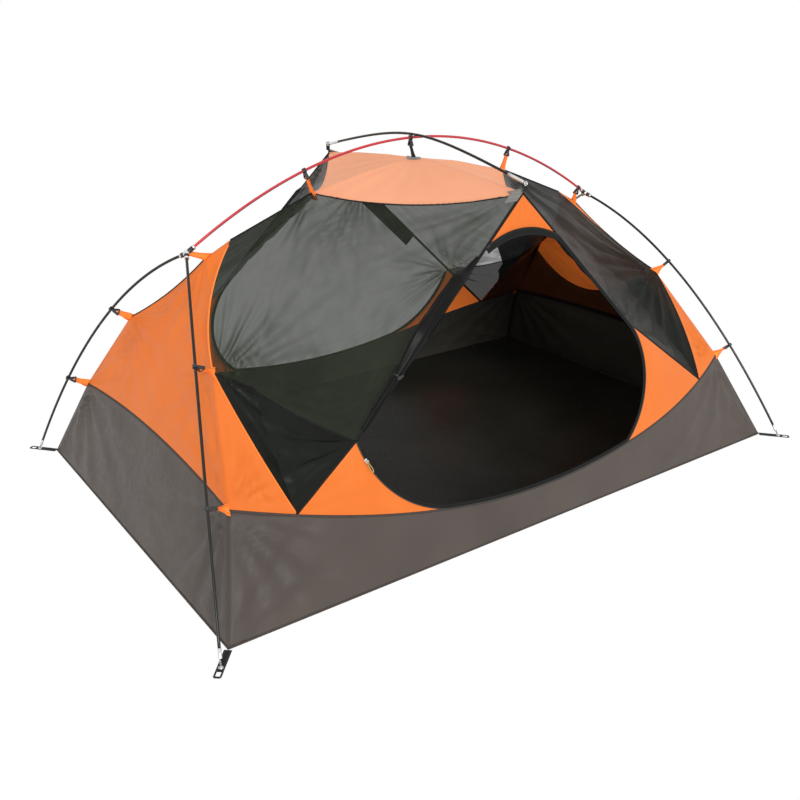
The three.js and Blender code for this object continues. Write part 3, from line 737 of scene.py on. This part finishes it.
def round_cord(name, path, radius, look, body="root"):
    """A round cord along a path of points."""
    rings = []
    side = None
    for i, p in enumerate(path):
        way = chord(path, i).normalized()
        if side is None:
            side = way.cross(Vector((0.3, 0.2, 1))).normalized()
        side = (side - way * side.dot(way)).normalized()
        rings.append(ring_of(p, side, way.cross(side), radius, 10))
    return add_rings(name, rings, look, body)


def plate(name, outline, holes, thick, bevel, place, look, body="root"):
    """A flat plate with rounded edges from an outline with holes, set by the matrix place."""
    curve = bpy.data.curves.new(name, "CURVE")
    curve.dimensions, curve.fill_mode = "2D", "BOTH"
    curve.extrude, curve.bevel_depth, curve.bevel_resolution = thick / 2 - bevel, bevel, 2
    curve.offset = -bevel
    for loop in (outline, *holes):
        spline = curve.splines.new("POLY")
        spline.points.add(len(loop) - 1)
        for point, (x, y) in zip(spline.points, loop):
            point.co = (x, y, 0, 1)
        spline.use_cyclic_u = True
    shape = bpy.data.objects.new(name + "_outline", curve)
    bpy.context.collection.objects.link(shape)
    made = bpy.data.meshes.new_from_object(shape.evaluated_get(bpy.context.evaluated_depsgraph_get()))
    bpy.data.objects.remove(shape)
    made.transform(place)
    points = [v.co.copy() for v in made.vertices]
    faces = [tuple(p.vertices) for p in made.polygons]
    flat = [(place.inverted() @ p).to_2d() for p in points]
    uvs = [(a.x, 0.5 + a.y / 0.022) for a in flat]
    return add_object(name, points, faces, look, body, uvs=uvs, smooth=False)


# ---------- the long walls ----------
def long_wall(face, place, mirrored):
    """Panels of one long wall. mirrored swaps left and right in the names of the turned copy."""
    def name(kind, sx):
        side = "left" if sx * mirrored < 0 else "right"
        return f"{face}_{kind}_{side}"

    for sx in (-1, 1):
        hinged = sx < 0
        seam = hinge_seam if hinged else straight_seam
        apex = door_point(HINGE_LOW if hinged else STRAIGHT_END)
        foot = wing_foot(sx)
        grid = patch(
            wing_seam(sx, hinged), joined(line(foot, apex), seam), lambda t: foot,
            joined(line(flip(WING_TOP, sx, 1), flip(ROOF_END, sx, 1)), roof_edge(sx, -1)), 70, 90,
        )
        if hinged:
            tip_patch(face, grid, place)
        folds = [
            (place(Vector((0.914 * sx, -0.316, 0.59))), 19, 0.0085, 0.22),
            (place(TIP), 17, 0.0100, 0.35),
            (place(apex), 15, 0.0090, 0.30),
            (place(flip(ROOF_END, sx, 1)), 17, 0.0070, 0.22),
        ]
        grid = creased(moved(grid, place), folds, 0.0022, 0.06)
        panel = name("mesh", sx)
        made = cloth(panel + "_net", grid, "mesh" if hinged else "dense", [panel])
        if hinged:
            denser_below(panel, made, grid)
        wing_tape = "orange_tape" if hinged else "black_tape"
        hem(panel + "_wing_hem", *side_of(grid, "left"), 0.005, wing_tape, 0.0016)
        hem(panel + "_top_hem", *side_of(grid, "top"), 0.006, "black_tape")

        corner_zip = on_door(low_arc) if hinged else (lambda t: door_point(side_arc(1 - t)))
        grid = patch(
            line(foot, apex), corner_zip, part_of(tub_top(sx), WING_FOOT, 1), lambda t: apex, 26, 26,
        )
        folds = [(place(apex), 15, 0.0030, 0.10), (place(foot), 15, 0.0030, 0.15)]
        grid = creased(moved(grid, place), folds, 0.0012, 0.04)
        panel = name("corner", sx)
        cloth(panel + "_cloth", grid, "orange", [panel])
        seam_tape(panel + "_seam", line(foot, apex), 0.009, place)
        seam_tape(panel + "_upper_seam", seam, 0.010 if hinged else 0.007, place)

    share = (HINGE_HIGH[1] - HINGE_LOW[1]) / (TIP_UP - HINGE_LOW[1])
    left, right = part_of(hinge_seam, share, 1), line(door_point(ARCH_END), TIP)
    grid = patch(left, right, on_door(arch_arc), lambda t: TIP, 26, 20)
    grid = creased(moved(grid, place), [(place(TIP), 15, 0.0025, 0.10)], 0.0010, 0.03)
    cloth(f"{face}_peak_cloth", grid, "orange", [f"{face}_peak_panel"])
    tub_wall(face, place)


def denser_below(panel, made, grid):
    """Below the line from its tab to the door, a hinge-side panel is of the denser mesh."""
    made.data.materials.append(LOOKS["dense"])
    faces = made.data.polygons
    for face in faces[:len(faces) // 2]:
        face.material_index = 1
    half = len(grid) // 2
    across = [(b - a).normalized() for a, b in zip(grid[half], grid[half + 3])]
    strap(panel + "_middle_seam", grid[half], across, 0.006, 0.0018, "black_tape")


def tub_wall(face, place):
    def top(t):
        if t < 0.3:
            return tub_top(-1)(t / 0.3)
        if t > 0.7:
            return tub_top(1)((1 - t) / 0.3)
        return door_point(sill_arc(1 - (t - 0.3) / 0.4))

    left, right = (Vector((x, -FLOOR_Y, SHEET_BASE)) for x in (-FLOOR_X, FLOOR_X))
    tabs = flip(TUB_TAB, -1, -1), flip(TUB_TAB, 1, -1)
    grid = patch(line(left, tabs[0]), line(right, tabs[1]), line(left, right), top, 150, 24)
    folds = [(place(tab), 17, 0.0065, 0.30) for tab in tabs]
    folds += [(place(Vector((x, -FLOOR_Y, 0))), 15, 0.0060, 0.30) for x in (-FLOOR_X, FLOOR_X)]
    sewn_tub(face, creased(moved(grid, place), folds, 0.0026, 0.035))


def sewn_tub(side, grid):
    """A tub wall's cloth with the bindings at its top and at the floor."""
    # The inner face takes the darker tub coating: painted shade inside the tent.
    cloth(f"{side}_tub_cloth", grid, "tub", [f"{side}_tub_wall"], inside="tub_inside")
    hem(f"{side}_tub_hem", *side_of(grid, "top"), 0.007, "tub_tape")
    hem(f"{side}_floor_seam", *side_of(grid, "bottom"), 0.006, "tub_tape", 0.003)


# ---------- the ends ----------
def end_wall(side, sx):
    rows = 64

    def wing(sy):
        return patch(
            lambda t: flip(wing_seam(sx, sx * sy > 0)(t), 1, -sy), corner_edge(sx, sy),
            lambda t: flip(tub_top(sx)(WING_FOOT * (1 - t)), 1, -sy),
            line(flip(WING_TOP, sx, 1), flip(PEAK, sx, 1)), 16, rows,
        )

    face = patch(
        corner_edge(sx, -1), corner_edge(sx, 1), end_tub_top(sx), lambda t: flip(PEAK, sx, 1), 44, rows,
    )
    folds = [(flip(UPPER_TAB, sx, sy), 17, 0.0050, 0.30) for sy in (-1, 1)]
    folds += [(flip(TUB_TAB, sx, sy), 19, 0.0070, 0.35) for sy in (-1, 1)]
    folds += [(flip(PEAK, sx, 1), 13, 0.0050, 0.28)]
    near = creased(wing(-1), folds[:1] + folds[2:3], 0.0012, 0.05)
    far = creased(wing(1), folds[1:2] + folds[3:4], 0.0012, 0.05)
    face = creased(face, folds, 0.0015, 0.05)
    grid = [a[:-1] + row[:-1] + b[::-1] for a, row, b in zip(near, face, far)]
    cloth(f"{side}_end_cloth", grid, "orange", [f"{side}_end_panel"])
    points = [upper_edge(sx, -sx)(t) for t in steps(30)]
    across = [(Vector((0, 0, 0.3)) - p).normalized() for p in points]
    strap(f"{side}_piping", points, across, 0.005, 0.003, "black_tape")

    front, back = (Vector((FLOOR_X * sx, y, SHEET_BASE)) for y in (-FLOOR_Y, FLOOR_Y))
    tabs = flip(TUB_TAB, sx, -1), flip(TUB_TAB, sx, 1)
    tub = patch(line(front, tabs[0]), line(back, tabs[1]), line(front, back), end_tub_top(sx), 80, 26)
    folds = [(tab, 13, 0.0070, 0.35) for tab in tabs]
    sewn_tub(side, creased(tub, folds, 0.0026, 0.04))
    inner_layer(side, sx)


def inner_layer(side, sx):
    """A second, darker layer that hangs inside an end, from its two upper tabs down to the tub."""
    inset = Vector((-0.03 * sx, 0, 0))
    reach, corner_up, sag = 0.29, 0.575, 0.115

    def top(t):
        way = 2 * t - 1
        return Vector((sx * 0.895, reach * way, corner_up - sag * (1 - way ** 2))) + inset

    def edge(sy):
        return line(flip(TUB_TAB, sx, sy) + inset + Vector((0, -0.03 * sy, 0)), top((sy + 1) / 2))

    def bottom(t):
        return end_tub_top(sx)(0.03 + 0.94 * t) + inset

    grid = creased(patch(edge(-1), edge(1), bottom, top, 44, 20), [], 0.003, 0.04)
    cloth(f"{side}_inner_layer", grid, "lining")


def inner_flap():
    """The right end's inner layer goes on round the back corner and over part of the mesh there."""
    rows, columns = 54, 40
    last_row, widest_row = 36, 22
    foot, apex = wing_foot(-1), door_point(HINGE_LOW)
    wing = patch(
        corner_edge(-1, -1), wing_seam(-1, True), lambda t: tub_top(-1)(WING_FOOT * t),
        line(flip(PEAK, -1, 1), flip(WING_TOP, -1, 1)), 14, rows,
    )
    net = patch(
        wing_seam(-1, True), joined(line(foot, apex), hinge_seam), lambda t: foot,
        joined(line(flip(WING_TOP, -1, 1), flip(ROOF_END, -1, 1)), roof_edge(-1, -1)), columns, rows,
    )
    inward = Vector((0.016, 0.018, 0))
    grid = []
    for r in range(last_row):
        reach = columns * (0.35 + 0.26 * min(1, r / widest_row))
        over = [between(net, r, reach * u) for u in steps(19)]
        grid.append([turned(p + inward) for p in wing[r][:-1] + over])
    grid = creased(grid, [(turned(flip(UPPER_TAB, -1, -1)), 15, 0.0030, 0.15)], 0.0010, 0.04)
    cloth("right_inner_flap", grid, "flap")


# ---------- roof and floor ----------
def roof_point(a, r):
    """A point of the roof: a from 0 to 4 round its edge, r from its centre out."""
    q = int(a) % 4
    sx, sy = ((1, -1), (1, 1), (-1, 1), (-1, -1))[q]
    t = a - int(a)
    rim = roof_edge(sx, sy)(t if q % 2 else 1 - t)
    crown = 0.006 * math.sin(math.pi * r)
    return ROOF_CENTRE.lerp(rim, r) + Vector((0, 0, crown))


def roof():
    spokes = 160

    def spot(k, r):
        return roof_point(4 * (k % spokes) / spokes, r)

    grid = []
    for r in steps(30):
        row = []
        for k in range(spokes + 1):
            p = spot(k, r)
            fade = min(1, r / 0.2) * min(1, (1 - r) / 0.12)
            ripple = 0.0024 * math.sin(k / spokes * 2 * math.pi * 22 + 3 * noise.noise(p * 4)) * r
            row.append(p + Vector((0, 0, fade * (ripple + 0.002 * noise.noise(p * 9)))))
        grid.append(row)
    # The roof and its hem take the paler roof ripstop, painted top light.
    cloth("roof_cloth", grid, "roof", ["roof_panel"])
    rim, inner = ([spot(k, r) for k in range(spokes + 1)] for r in (1, 0.94))
    hem("roof_hem", rim, inner, 0.006, "roof")
    raised = Vector((0, 0, 0.0025))
    grid = [[roof_point((4 * k - 2) % 4, 0.075 * r) + raised for k in steps(40)] for r in steps(8)]
    sewn_on("roof_patch_centre", grid)


def tip_patch(face, net, place):
    """A pleated reinforcement over the roof's tip, sewn down on the mesh beside the hinge seam."""
    rows = [row[-3:] for row in net[-3:]]
    for share in (0.985, 0.97):
        rows.append([ROOF_CENTRE.lerp(p, share) + Vector((0, 0, 0.002)) for p in net[-1][-3:]])
    grid = []
    for v in steps(28):
        raised = Vector((0, -0.004, 0.006)) * (1 + 0.3 * math.sin(2 * math.pi * 4 * v))
        grid.append([place(between(rows, v * (len(rows) - 1), 2 * u) + raised) for u in steps(12)])
    sewn_on(f"roof_patch_{face}", grid)


def sewn_on(name, grid):
    """A reinforcement of thick cloth."""
    points, faces, uvs = merged(grid)
    made = add_object(name, points, faces, "patch", uvs=uvs)
    solid = made.modifiers.new("thickness", "SOLIDIFY")
    solid.thickness, solid.offset = 0.0012, 1


def floor_cloth():
    grid = []
    for v in steps(60):
        row = []
        for u in steps(90):
            x, y = FLOOR_X * (2 * u - 1), FLOOR_Y * (2 * v - 1)
            p = Vector((x, y, 0))
            fade = min(1, (FLOOR_X - abs(x)) / 0.05, (FLOOR_Y - abs(y)) / 0.05)
            broad, fine = noise.noise(p * 3), noise.noise(Vector((x * 9, y * 3, 2)))
            rise = 0.006 * max(0, broad) + 0.004 * max(0, fine)
            row.append(Vector((x, y, SHEET_BASE + fade * rise)))
        grid.append(row)
    # The floor's near-black cloth paints the shade inside the tent.
    cloth("floor_sheet", grid, "floor", ["floor"])


# ---------- doors and zips ----------
def zip_strip(name, path, offset, width, place, body="root", lift=0.0012):
    """A tape beside the zip's centre line, offset to one side of it, in the door plane."""
    flat = []
    for i, (x, y) in enumerate(path):
        ax, ay = path[max(0, i - 1)]
        bx, by = path[min(len(path) - 1, i + 1)]
        size = math.hypot(bx - ax, by - ay)
        flat.append((x + (by - ay) / size * offset, y - (bx - ax) / size * offset))
    points = [place(door_point(p) + OUTWARD * lift) for p in flat]
    across = [chord(points, i).cross(place(OUTWARD)).normalized() for i in range(len(points))]
    return strap(name, points, across, width, 0.0014, "black_tape", body)


def zip_coil(name, path, place):
    """The coil of a zip: a fine ridge with a tooth every few millimetres."""
    rings = []
    for (ax, ay), (bx, by) in zip(path, path[1:]):
        size = math.hypot(bx - ax, by - ay)
        across = (door_point((ax + by - ay, ay - bx + ax)) - door_point((ax, ay))) / size
        pieces = max(1, round(size / TOOTH_PITCH))
        for k in range(pieces):
            t = k / pieces
            centre = door_point((ax + (bx - ax) * t, ay + (by - ay) * t)) + OUTWARD * 0.0014
            radius = 0.0019 if len(rings) % 2 else 0.0011
            rings.append([place(p) for p in ring_of(centre, across * 1.3, OUTWARD, radius, 5)])
    add_rings(name, rings, "plastic", reverse=True)


def zips():
    path = zip_path()
    for face, place in (("front", unturned), ("back", turned)):
        offset, width = (-0.0055, 0.013) if face == "front" else (0.0035, 0.007)
        outer = zip_strip(f"{face}_zip_tape", path[4:-4], offset, width, place)
        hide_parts(f"{face}_zip_track")
        zip_coil(f"{face}_zip_coil", path, place)
    widths = [0.010 + 0.014 * math.sin(math.pi * min(1, 0.06 + 0.9 * t)) ** 0.5 for t in steps(ZIP_STEPS)]
    zip_strip("front_arch_guard", path[-ZIP_STEPS - 1:], -0.010, widths, unturned, lift=0.0045)
    zip_strip("back_door_tape", path[2:-2], -0.0075, 0.011, turned, "back_door")


def back_door():
    path = zip_path()

    def edge(t):
        place = t * (len(path) - 1)
        i = min(len(path) - 2, int(place))
        (ax, ay), (bx, by) = path[i], path[i + 1]
        return door_point((ax + (bx - ax) * (place - i), ay + (by - ay) * (place - i)))

    low, high = door_point(HINGE_LOW), door_point(HINGE_HIGH)
    grid = patch(door_hinge, edge, lambda t: low, lambda t: high, 44, 110)
    grid = [row[:-1] + [row[-1].lerp(row[-2], 0.15)] for row in grid]
    folds = [(turned(low), 13, 0.006, 0.3), (turned(high), 13, 0.006, 0.3)]
    grid = creased(moved(grid, turned), folds, 0.002, 0.05)
    cloth("back_door_net", grid, "mesh", ["back_door_panel"], "back_door")
    inward = (high - low).normalized().cross(OUTWARD)
    middle = [turned(door_hinge(0.42 + 0.58 * t) + inward * 0.028 + OUTWARD * 0.003) for t in steps(30)]
    across = [turned(inward)] * len(middle)
    strap("back_door_guard", middle, across, 0.05, 0.002, "black_tape", "back_door")


def roll_centre(s, radius):
    """Where the rolled door's middle lies, at s from the top of its hinge: outside, beside the seam."""
    top, low = door_point(HINGE_HIGH), door_point(HINGE_LOW)
    aside = OUTWARD.cross((low - top).normalized()).normalized()
    if aside.x > 0:
        aside.negate()
    return top.lerp(low, s) + aside * 1.6 * radius + OUTWARD * (0.85 * radius + 0.006), aside


def roll_radius(s):
    for (a, low), (b, high) in zip(ROLL_BULK, ROLL_BULK[1:]):
        if s <= b:
            return low + (high - low) * (s - a) / (b - a)
    return ROLL_BULK[-1][1]


def door_roll():
    """The front door rolled up along its hinge seam: one sheet wound in a long spiral."""
    pitch, core, start_angle = 0.00056, 0.0012, 1.9
    spiral = [math.sqrt(core ** 2 + pitch * DOOR_FLAT[1] * k / math.pi) for k in steps(320)]
    first, last = ROLL_BULK[0][0], ROLL_BULK[-1][0]
    grid = []
    for share in steps(60):
        s = first + (last - first) * share
        size = roll_radius(s) / spiral[-1]
        centre, aside = roll_centre(s, roll_radius(s))
        row = []
        for radius in spiral:
            angle = 2 * math.pi * (radius - spiral[-1]) / pitch + start_angle
            lump = 1 + 0.10 * noise.noise(Vector((math.cos(angle), math.sin(angle), 14 * s)))
            lump *= 1 + 0.06 * math.sin(5 * angle + 12 * s)
            spot = aside * 1.25 * math.cos(angle) + OUTWARD * 0.85 * math.sin(angle)
            row.append(centre + spot * radius * size * lump)
        grid.append(row)
    # The roll takes the opaque, darker mesh: painted shade between the windings.
    cloth("front_door_net", grid, "rolled", ["front_door_roll"])


def zip_pull(curve, t, place):
    """The path of the cord loop that hangs on a slider."""
    at = place(door_point(curve(t)) + OUTWARD * 0.0068)
    along = (place(door_point(curve(t + 0.01))) - place(door_point(curve(t - 0.01)))).normalized()
    if along.z > 0:
        along.negate()
    out = place(OUTWARD)
    across = out.cross(along)
    points = []
    for s in steps(26):
        reach = math.sin(math.pi * s) ** 0.8
        spread = math.cos(math.pi * s) * (0.25 + 0.75 * math.sin(math.pi * s))
        points.append(at + along * (0.002 + 0.036 * reach) + across * 0.0062 * spread + out * 0.0005 * reach)
    fine = []
    for a, b in zip(points, points[1:]):
        fine += [a.lerp(b, k / 3) for k in range(3)]
    fine.append(points[-1])
    return fine


# ---------- pole set ----------
def section(name, curve, start, end, look, tip=0, spigot=False, sleeve=0.036):
    """One pole section with softened ends, a pale ferrule at the joint and a collar and pin at a tip."""
    long = length_of(curve)
    chamfer, bare = 0.0008 / long, 0.035 / long
    low = start + (bare if tip < 0 else 0)
    high = end - (bare if tip > 0 else 0)
    count = max(12, round((high - low) * long / 0.02))
    stations = [(low, POLE_R * 0.86), (low + chamfer, POLE_R)]
    stations += [(low + (high - low) * t, POLE_R) for t in steps(count)[1:-1]]
    stations += [(high - chamfer, POLE_R), (high, POLE_R * 0.86)]
    made = swept(f"{name}_tube", curve, stations, look)
    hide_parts(name)
    if spigot:
        stations = [(high + reach / long, 0.003) for reach in (-0.002, 0.006)]
        swept(f"{name}_ferrule", curve, stations, "silver")
    if tip:
        ending = end if tip > 0 else start
        outline = [(sleeve, 0.0043), (sleeve - 0.0005, 0.0050), (0.017, 0.0052), (0.0162, 0.0048),
                   (0.016, 0.0023), (0.001, 0.0022), (0, 0.0016)]
        stations = sorted((ending - tip * d / long, r) for d, r in outline)
        swept(f"{name}_tip", curve, stations, "silver")


def pole_set():
    start = HUB_REACH / length_of(ridge_line)
    section("ridge_pole_left", ridge_line, start, 0.5, "red_pole", spigot=True)
    section("ridge_pole_right", ridge_line, 0.5, 1 - start, "red_pole")
    section("brow_pole_front", brow_line, 0, 0.5, "grey_pole", tip=-1, spigot=True, sleeve=0.085)
    section("brow_pole_back", brow_line, 0.5, 1, "grey_pole", tip=1, sleeve=0.085)
    for side, sx in SIDES:
        for face, sy in FACES:
            leg = leg_line(sx, sy)
            start = HUB_REACH / length_of(leg)
            section(f"leg_{face}_{side}_upper", leg, start, 0.5, "black_pole", spigot=True)
            section(f"leg_{face}_{side}_lower", leg, 0.5, 1, "black_pole", tip=1)


def hub(side, sx):
    centre = flip(HUB, sx, 1)
    half = [(0.0105, 0.001), (0.0098, 0.004), (0.0075, 0.0075), (0.004, 0.0098)]
    ball = [(-along, radius) for along, radius in half] + [(0, 0.0106)] + half[::-1]
    made = lathed(f"hub_{side}_ball", centre, Vector((0, 0, 1)), ball, "silver")
    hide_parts(f"hub_{side}")

    def ridge(t):
        return ridge_line(1 - t if sx > 0 else t)

    arms = (("ridge", ridge), ("front", leg_line(sx, -1)), ("back", leg_line(sx, 1)))
    for label, curve in arms:
        long = length_of(curve)
        first = curve(HUB_REACH / long)
        way = curve((HUB_REACH + 0.06) / long) - first
        sleeve = [(-0.012, 0.0045), (-0.010, 0.0068), (-0.004, 0.0074), (0.0095, 0.0074), (0.010, 0.0068),
                  (0.010, 0.0046)]
        lathed(f"hub_{side}_{label}_sleeve", first, way, sleeve, "plastic")
        collar = [(0.0100, 0.0047), (0.0100, 0.0072), (0.0106, 0.0077), (0.0150, 0.0077), (0.0158, 0.0070),
                  (0.0160, 0.0047)]
        lathed(f"hub_{side}_{label}_collar", first, way, collar, "silver")


# ---------- clips and tabs ----------
def clip_outline():
    def ring(radius, start, end, count):
        angles = [math.radians(start + (end - start) * t) for t in steps(count)]
        return [(radius * math.cos(a), radius * math.sin(a)) for a in angles]

    outer = ring(0.0082, 100, 335, 18)
    bar = [(0.0225, -0.0110), (0.0262, -0.0108), (0.027, -0.0098), (0.027, 0.0098), (0.0262, 0.0108),
           (0.0225, 0.0110)]
    outline = outer + bar + ring(0.0082, 40, 40, 1)[1:] + ring(0.0052, 40, -260, 22)
    hole = [(0.013, -0.0025), (0.0215, -0.0072), (0.0225, -0.0066), (0.0225, 0.0066), (0.0215, 0.0072),
            (0.013, 0.0025)]
    return outline, hole


def clip(node, curve, t, corner, look="orange_tape", width=0.016, twist=0.0):
    """A moulded clip on a pole, and the webbing tab that ties a corner of the cloth to its bar."""
    at, along = curve(t), tangent(curve, t)
    inward = corner - at
    inward = (inward - along * inward.dot(along)).normalized()
    place = Matrix((inward, along.cross(inward), along)).transposed().to_4x4()
    place = Matrix.Translation(at) @ place
    outline, hole = clip_outline()
    made = plate(f"{node}_hook", outline, [hole], 0.010, 0.0009, place, "plastic", node)
    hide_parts(node)
    bar = at + inward * 0.0248
    pull = (corner - bar).normalized()
    side = along.cross(inward)
    side = (side - pull * side.dot(pull)).normalized()
    lying = pull.cross(side)

    def across(s):
        """A leg's tab lies along its seam where it is sewn, and turns across the pole at the clip."""
        turn = twist * (1 - s)
        return side * math.cos(turn) + lying * math.sin(turn)

    points, over, wide = [], [], []
    for way in (1, -1):
        layer = []
        for s, share in TAB_STATIONS:
            flat = across(max(0, s))
            layer.append((corner.lerp(bar, s) + flat.cross(pull) * 0.002 * way, flat, share))
        for a in (60, 20):
            spin = math.radians(a * way)
            round_bar = side.cross(pull) * math.sin(spin) - pull * math.cos(spin)
            layer.append((bar + round_bar * 0.0042, side, 0.8))
        for spot, flat, share in layer[::way]:
            points.append(spot)
            over.append(flat)
            wide.append(width * share)
    tab = strap(f"{node}_tab", points, over, wide, 0.0013, look, None)
    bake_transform(tab)


def clips():
    for side, sx in SIDES:
        clip(f"clip_roof_{side}", ridge_line, (1 + sx * ROOF_CLIP_X / HUB.x) / 2, flip(ROOF_END, sx, 1))
        for face, sy in FACES:
            for level, t, tab in (("upper", UPPER_CLIP, UPPER_TAB), ("lower", LOWER_CLIP, TUB_TAB)):
                clip(f"clip_{level}_{face}_{side}", leg_line(sx, sy), t, flip(tab, sx, sy),
                     width=0.020, twist=math.pi / 2)
    clip("clip_peak_right", ridge_line, (1 + PEAK_CLIP_X / HUB.x) / 2, PEAK)
    clip("clip_centre", ridge_line, (1 - CENTRE_CLIP_X / HUB.x) / 2, ROOF_CENTRE, "black_webbing", 0.012)
    peak, hub_at = flip(PEAK, -1, 1), flip(HUB, -1, 1)
    stations = ((-0.3, 0.030), (0, 0.024), (0.3, 0.018), (0.6, 0.016), (0.88, 0.014))
    points = [peak.lerp(hub_at, s) + Vector((0, 0, 0.002)) for s, _ in stations]
    across = [Vector((0.3, 0.2, 1))] * len(stations)
    strap("peak_tab_left", points, across, [wide for _, wide in stations], 0.0022, "orange_tape")


# ---------- corner straps, cross-pole tabs, cords ----------
def circle(radius, count=20):
    angles = [2 * math.pi * k / count for k in range(count)]
    return [(radius * math.cos(a), radius * math.sin(a)) for a in angles]


def corner_strap(face, sy, side, sx):
    out = Vector((sx * (FOOT.x - FLOOR_X), sy * (FOOT.y - FLOOR_Y), 0))
    reach = out.length
    outline = [(0.002 - reach, -0.0108), (0.036, -0.0108), (0.040, -0.007), (0.040, 0.007), (0.036, 0.0108),
               (0.002 - reach, 0.0108)]
    slot_hole = [(0.016, -0.006), (0.034, -0.006), (0.034, 0.006), (0.016, 0.006)]
    at = Vector((sx * FOOT.x, sy * FOOT.y, 0.0013))
    place = Matrix.Translation(at) @ Matrix.Rotation(math.atan2(out.y, out.x), 4, "Z")
    name = f"corner_strap_{face}_{side}"
    holes = [circle(GROMMET_R), slot_hole]
    made = plate(name + "_web", outline, holes, 0.0019, 0.0004, place, "black_webbing")
    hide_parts(name)
    grommet(name + "_grommet", at, Vector((0, 0, 1)))


def grommet(name, at, way):
    """A metal eyelet, lathed round the way through it."""
    ring = [(-0.0013, 0.0036), (-0.0015, 0.0064), (-0.0008, 0.0072), (0.0012, 0.0072), (0.0019, 0.0064),
            (0.0017, 0.0036)]
    side, up = square_to(way)
    count, size = 28, len(ring)
    points, faces = [], []
    for k in range(count):
        a = 2 * math.pi * k / count
        points += [at + way * d + (side * math.cos(a) + up * math.sin(a)) * r for d, r in ring]
        n = (k + 1) % count
        for j in range(size):
            m = (j + 1) % size
            faces.append((k * size + j, n * size + j, n * size + m, k * size + m))
    add_object(name, points, faces, "silver")


def brow_tab(face, sy):
    at = brow_line(1 - 0.008 / length_of(brow_line))
    at = Vector((0, sy * at.y, at.z))
    outline = [(-0.0075, -0.0215), (0.0075, -0.0215), (0.0078, 0.004), (0.005, 0.0085), (-0.005, 0.0085),
               (-0.0078, 0.004)]
    place = Matrix.Translation(at) @ Matrix.Rotation(math.pi / 2, 4, "X")
    name = f"brow_tab_{face}"
    made = plate(name + "_web", outline, [circle(GROMMET_R)], 0.0018, 0.0004, place, "black_webbing")
    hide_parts(name)
    grommet(name + "_grommet", at, Vector((0, 1, 0)))
    tip = flip(TIP, 1, -sy)
    points = [at + Vector((0, 0, -0.018)), at.lerp(tip, 0.8), tip + Vector((0, -0.004 * sy, -0.004))]
    widths = [0.013, 0.011, 0.015]
    strap(f"brow_tie_{face}", points, [Vector((1, 0, 0))] * 3, widths, 0.0022, "black_webbing")


def cords():
    peak, hub_at = PEAK.copy(), HUB.copy()
    start = peak + Vector((-0.004, 0, 0.003))
    end = hub_at + (peak - hub_at).normalized() * 0.009
    path = [start.lerp(end, t) - Vector((0, 0, 0.004 * math.sin(math.pi * t))) for t in steps(16)]
    long = sum((b - a).length for a, b in zip(path, path[1:]))
    made = round_cord("peak_cord", path, 0.0013, "cord")
    [tuple(p) for p in path]
    pulls = (("front", low_arc, 0.84, unturned), ("back", arch_arc, 0.15, turned))
    for face, curve, t, place in pulls:
        fine = zip_pull(curve, t, place)
        long = sum((b - a).length for a, b in zip(fine, fine[1:]))
        made = round_cord(f"{face}_pull_cord", fine, 0.0012, "gold", f"{face}_pull")
        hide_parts(f"{face}_zip_pull")
        tuple(fine[0])
        [tuple(p) for p in fine]


def toggle():
    """The cord loop with a barrel toggle that holds the rolled front door."""
    radius = 0.0115
    along = (door_point(HINGE_LOW) - door_point(HINGE_HIGH)).normalized()
    centre, aside = roll_centre(TOGGLE_AT, roll_radius(TOGGLE_AT))
    ring = ring_of(centre, aside, OUTWARD, radius, 32)
    round_cord("toggle_loop", ring + ring[:1], 0.0014, "cord")
    barrel = [(-0.011, 0.001), (-0.0108, 0.003), (-0.009, 0.0038), (0, 0.0032), (0.009, 0.0038),
              (0.0108, 0.003), (0.011, 0.001)]
    spot = centre + OUTWARD * (radius + 0.004)
    lathed("toggle_barrel", spot, along + aside * 0.4, barrel, "plastic")


# ---------- stage ----------
def stage():
    """A white surround and a low sun from the front."""
    world = bpy.data.worlds.new("studio")
    world.use_nodes = True
    world.node_tree.nodes["Background"].inputs["Color"].default_value = (1, 1, 1, 1)
    world.node_tree.nodes["Background"].inputs["Strength"].default_value = 1.0
    bpy.context.scene.world = world
    bpy.context.scene.view_settings.view_transform = "Standard"
    sun = bpy.data.lights.new("key", "SUN")
    sun.energy, sun.angle = 1.75, 0.4
    key = bpy.data.objects.new("key", sun)
    key.location = (-1.4, -4.0, 2.0)
    key.rotation_euler = (Vector((0, 0, 0.4)) - key.location).to_track_quat("-Z", "Y").to_euler()
    bpy.context.collection.objects.link(key)


cords()
long_wall("front", unturned, 1)
long_wall("back", turned, -1)
for side_name, direction in SIDES:
    end_wall(side_name, direction)
    hub(side_name, direction)
    for face_name, facing in FACES:
        corner_strap(face_name, facing, side_name, direction)
inner_flap()
roof()
floor_cloth()
zips()
back_door()
door_roll()
toggle()
pole_set()
clips()
for face_name, facing in FACES:
    brow_tab(face_name, facing)
stage()
shown_as_built = {
    "front_zip_slider": "silver", "back_zip_slider": "silver",
    "frame_shock_cord": "cord", "brow_shock_cord": "cord",
}
for node, look_name in shown_as_built.items():
    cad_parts[node].data.materials[0] = LOOKS[look_name]
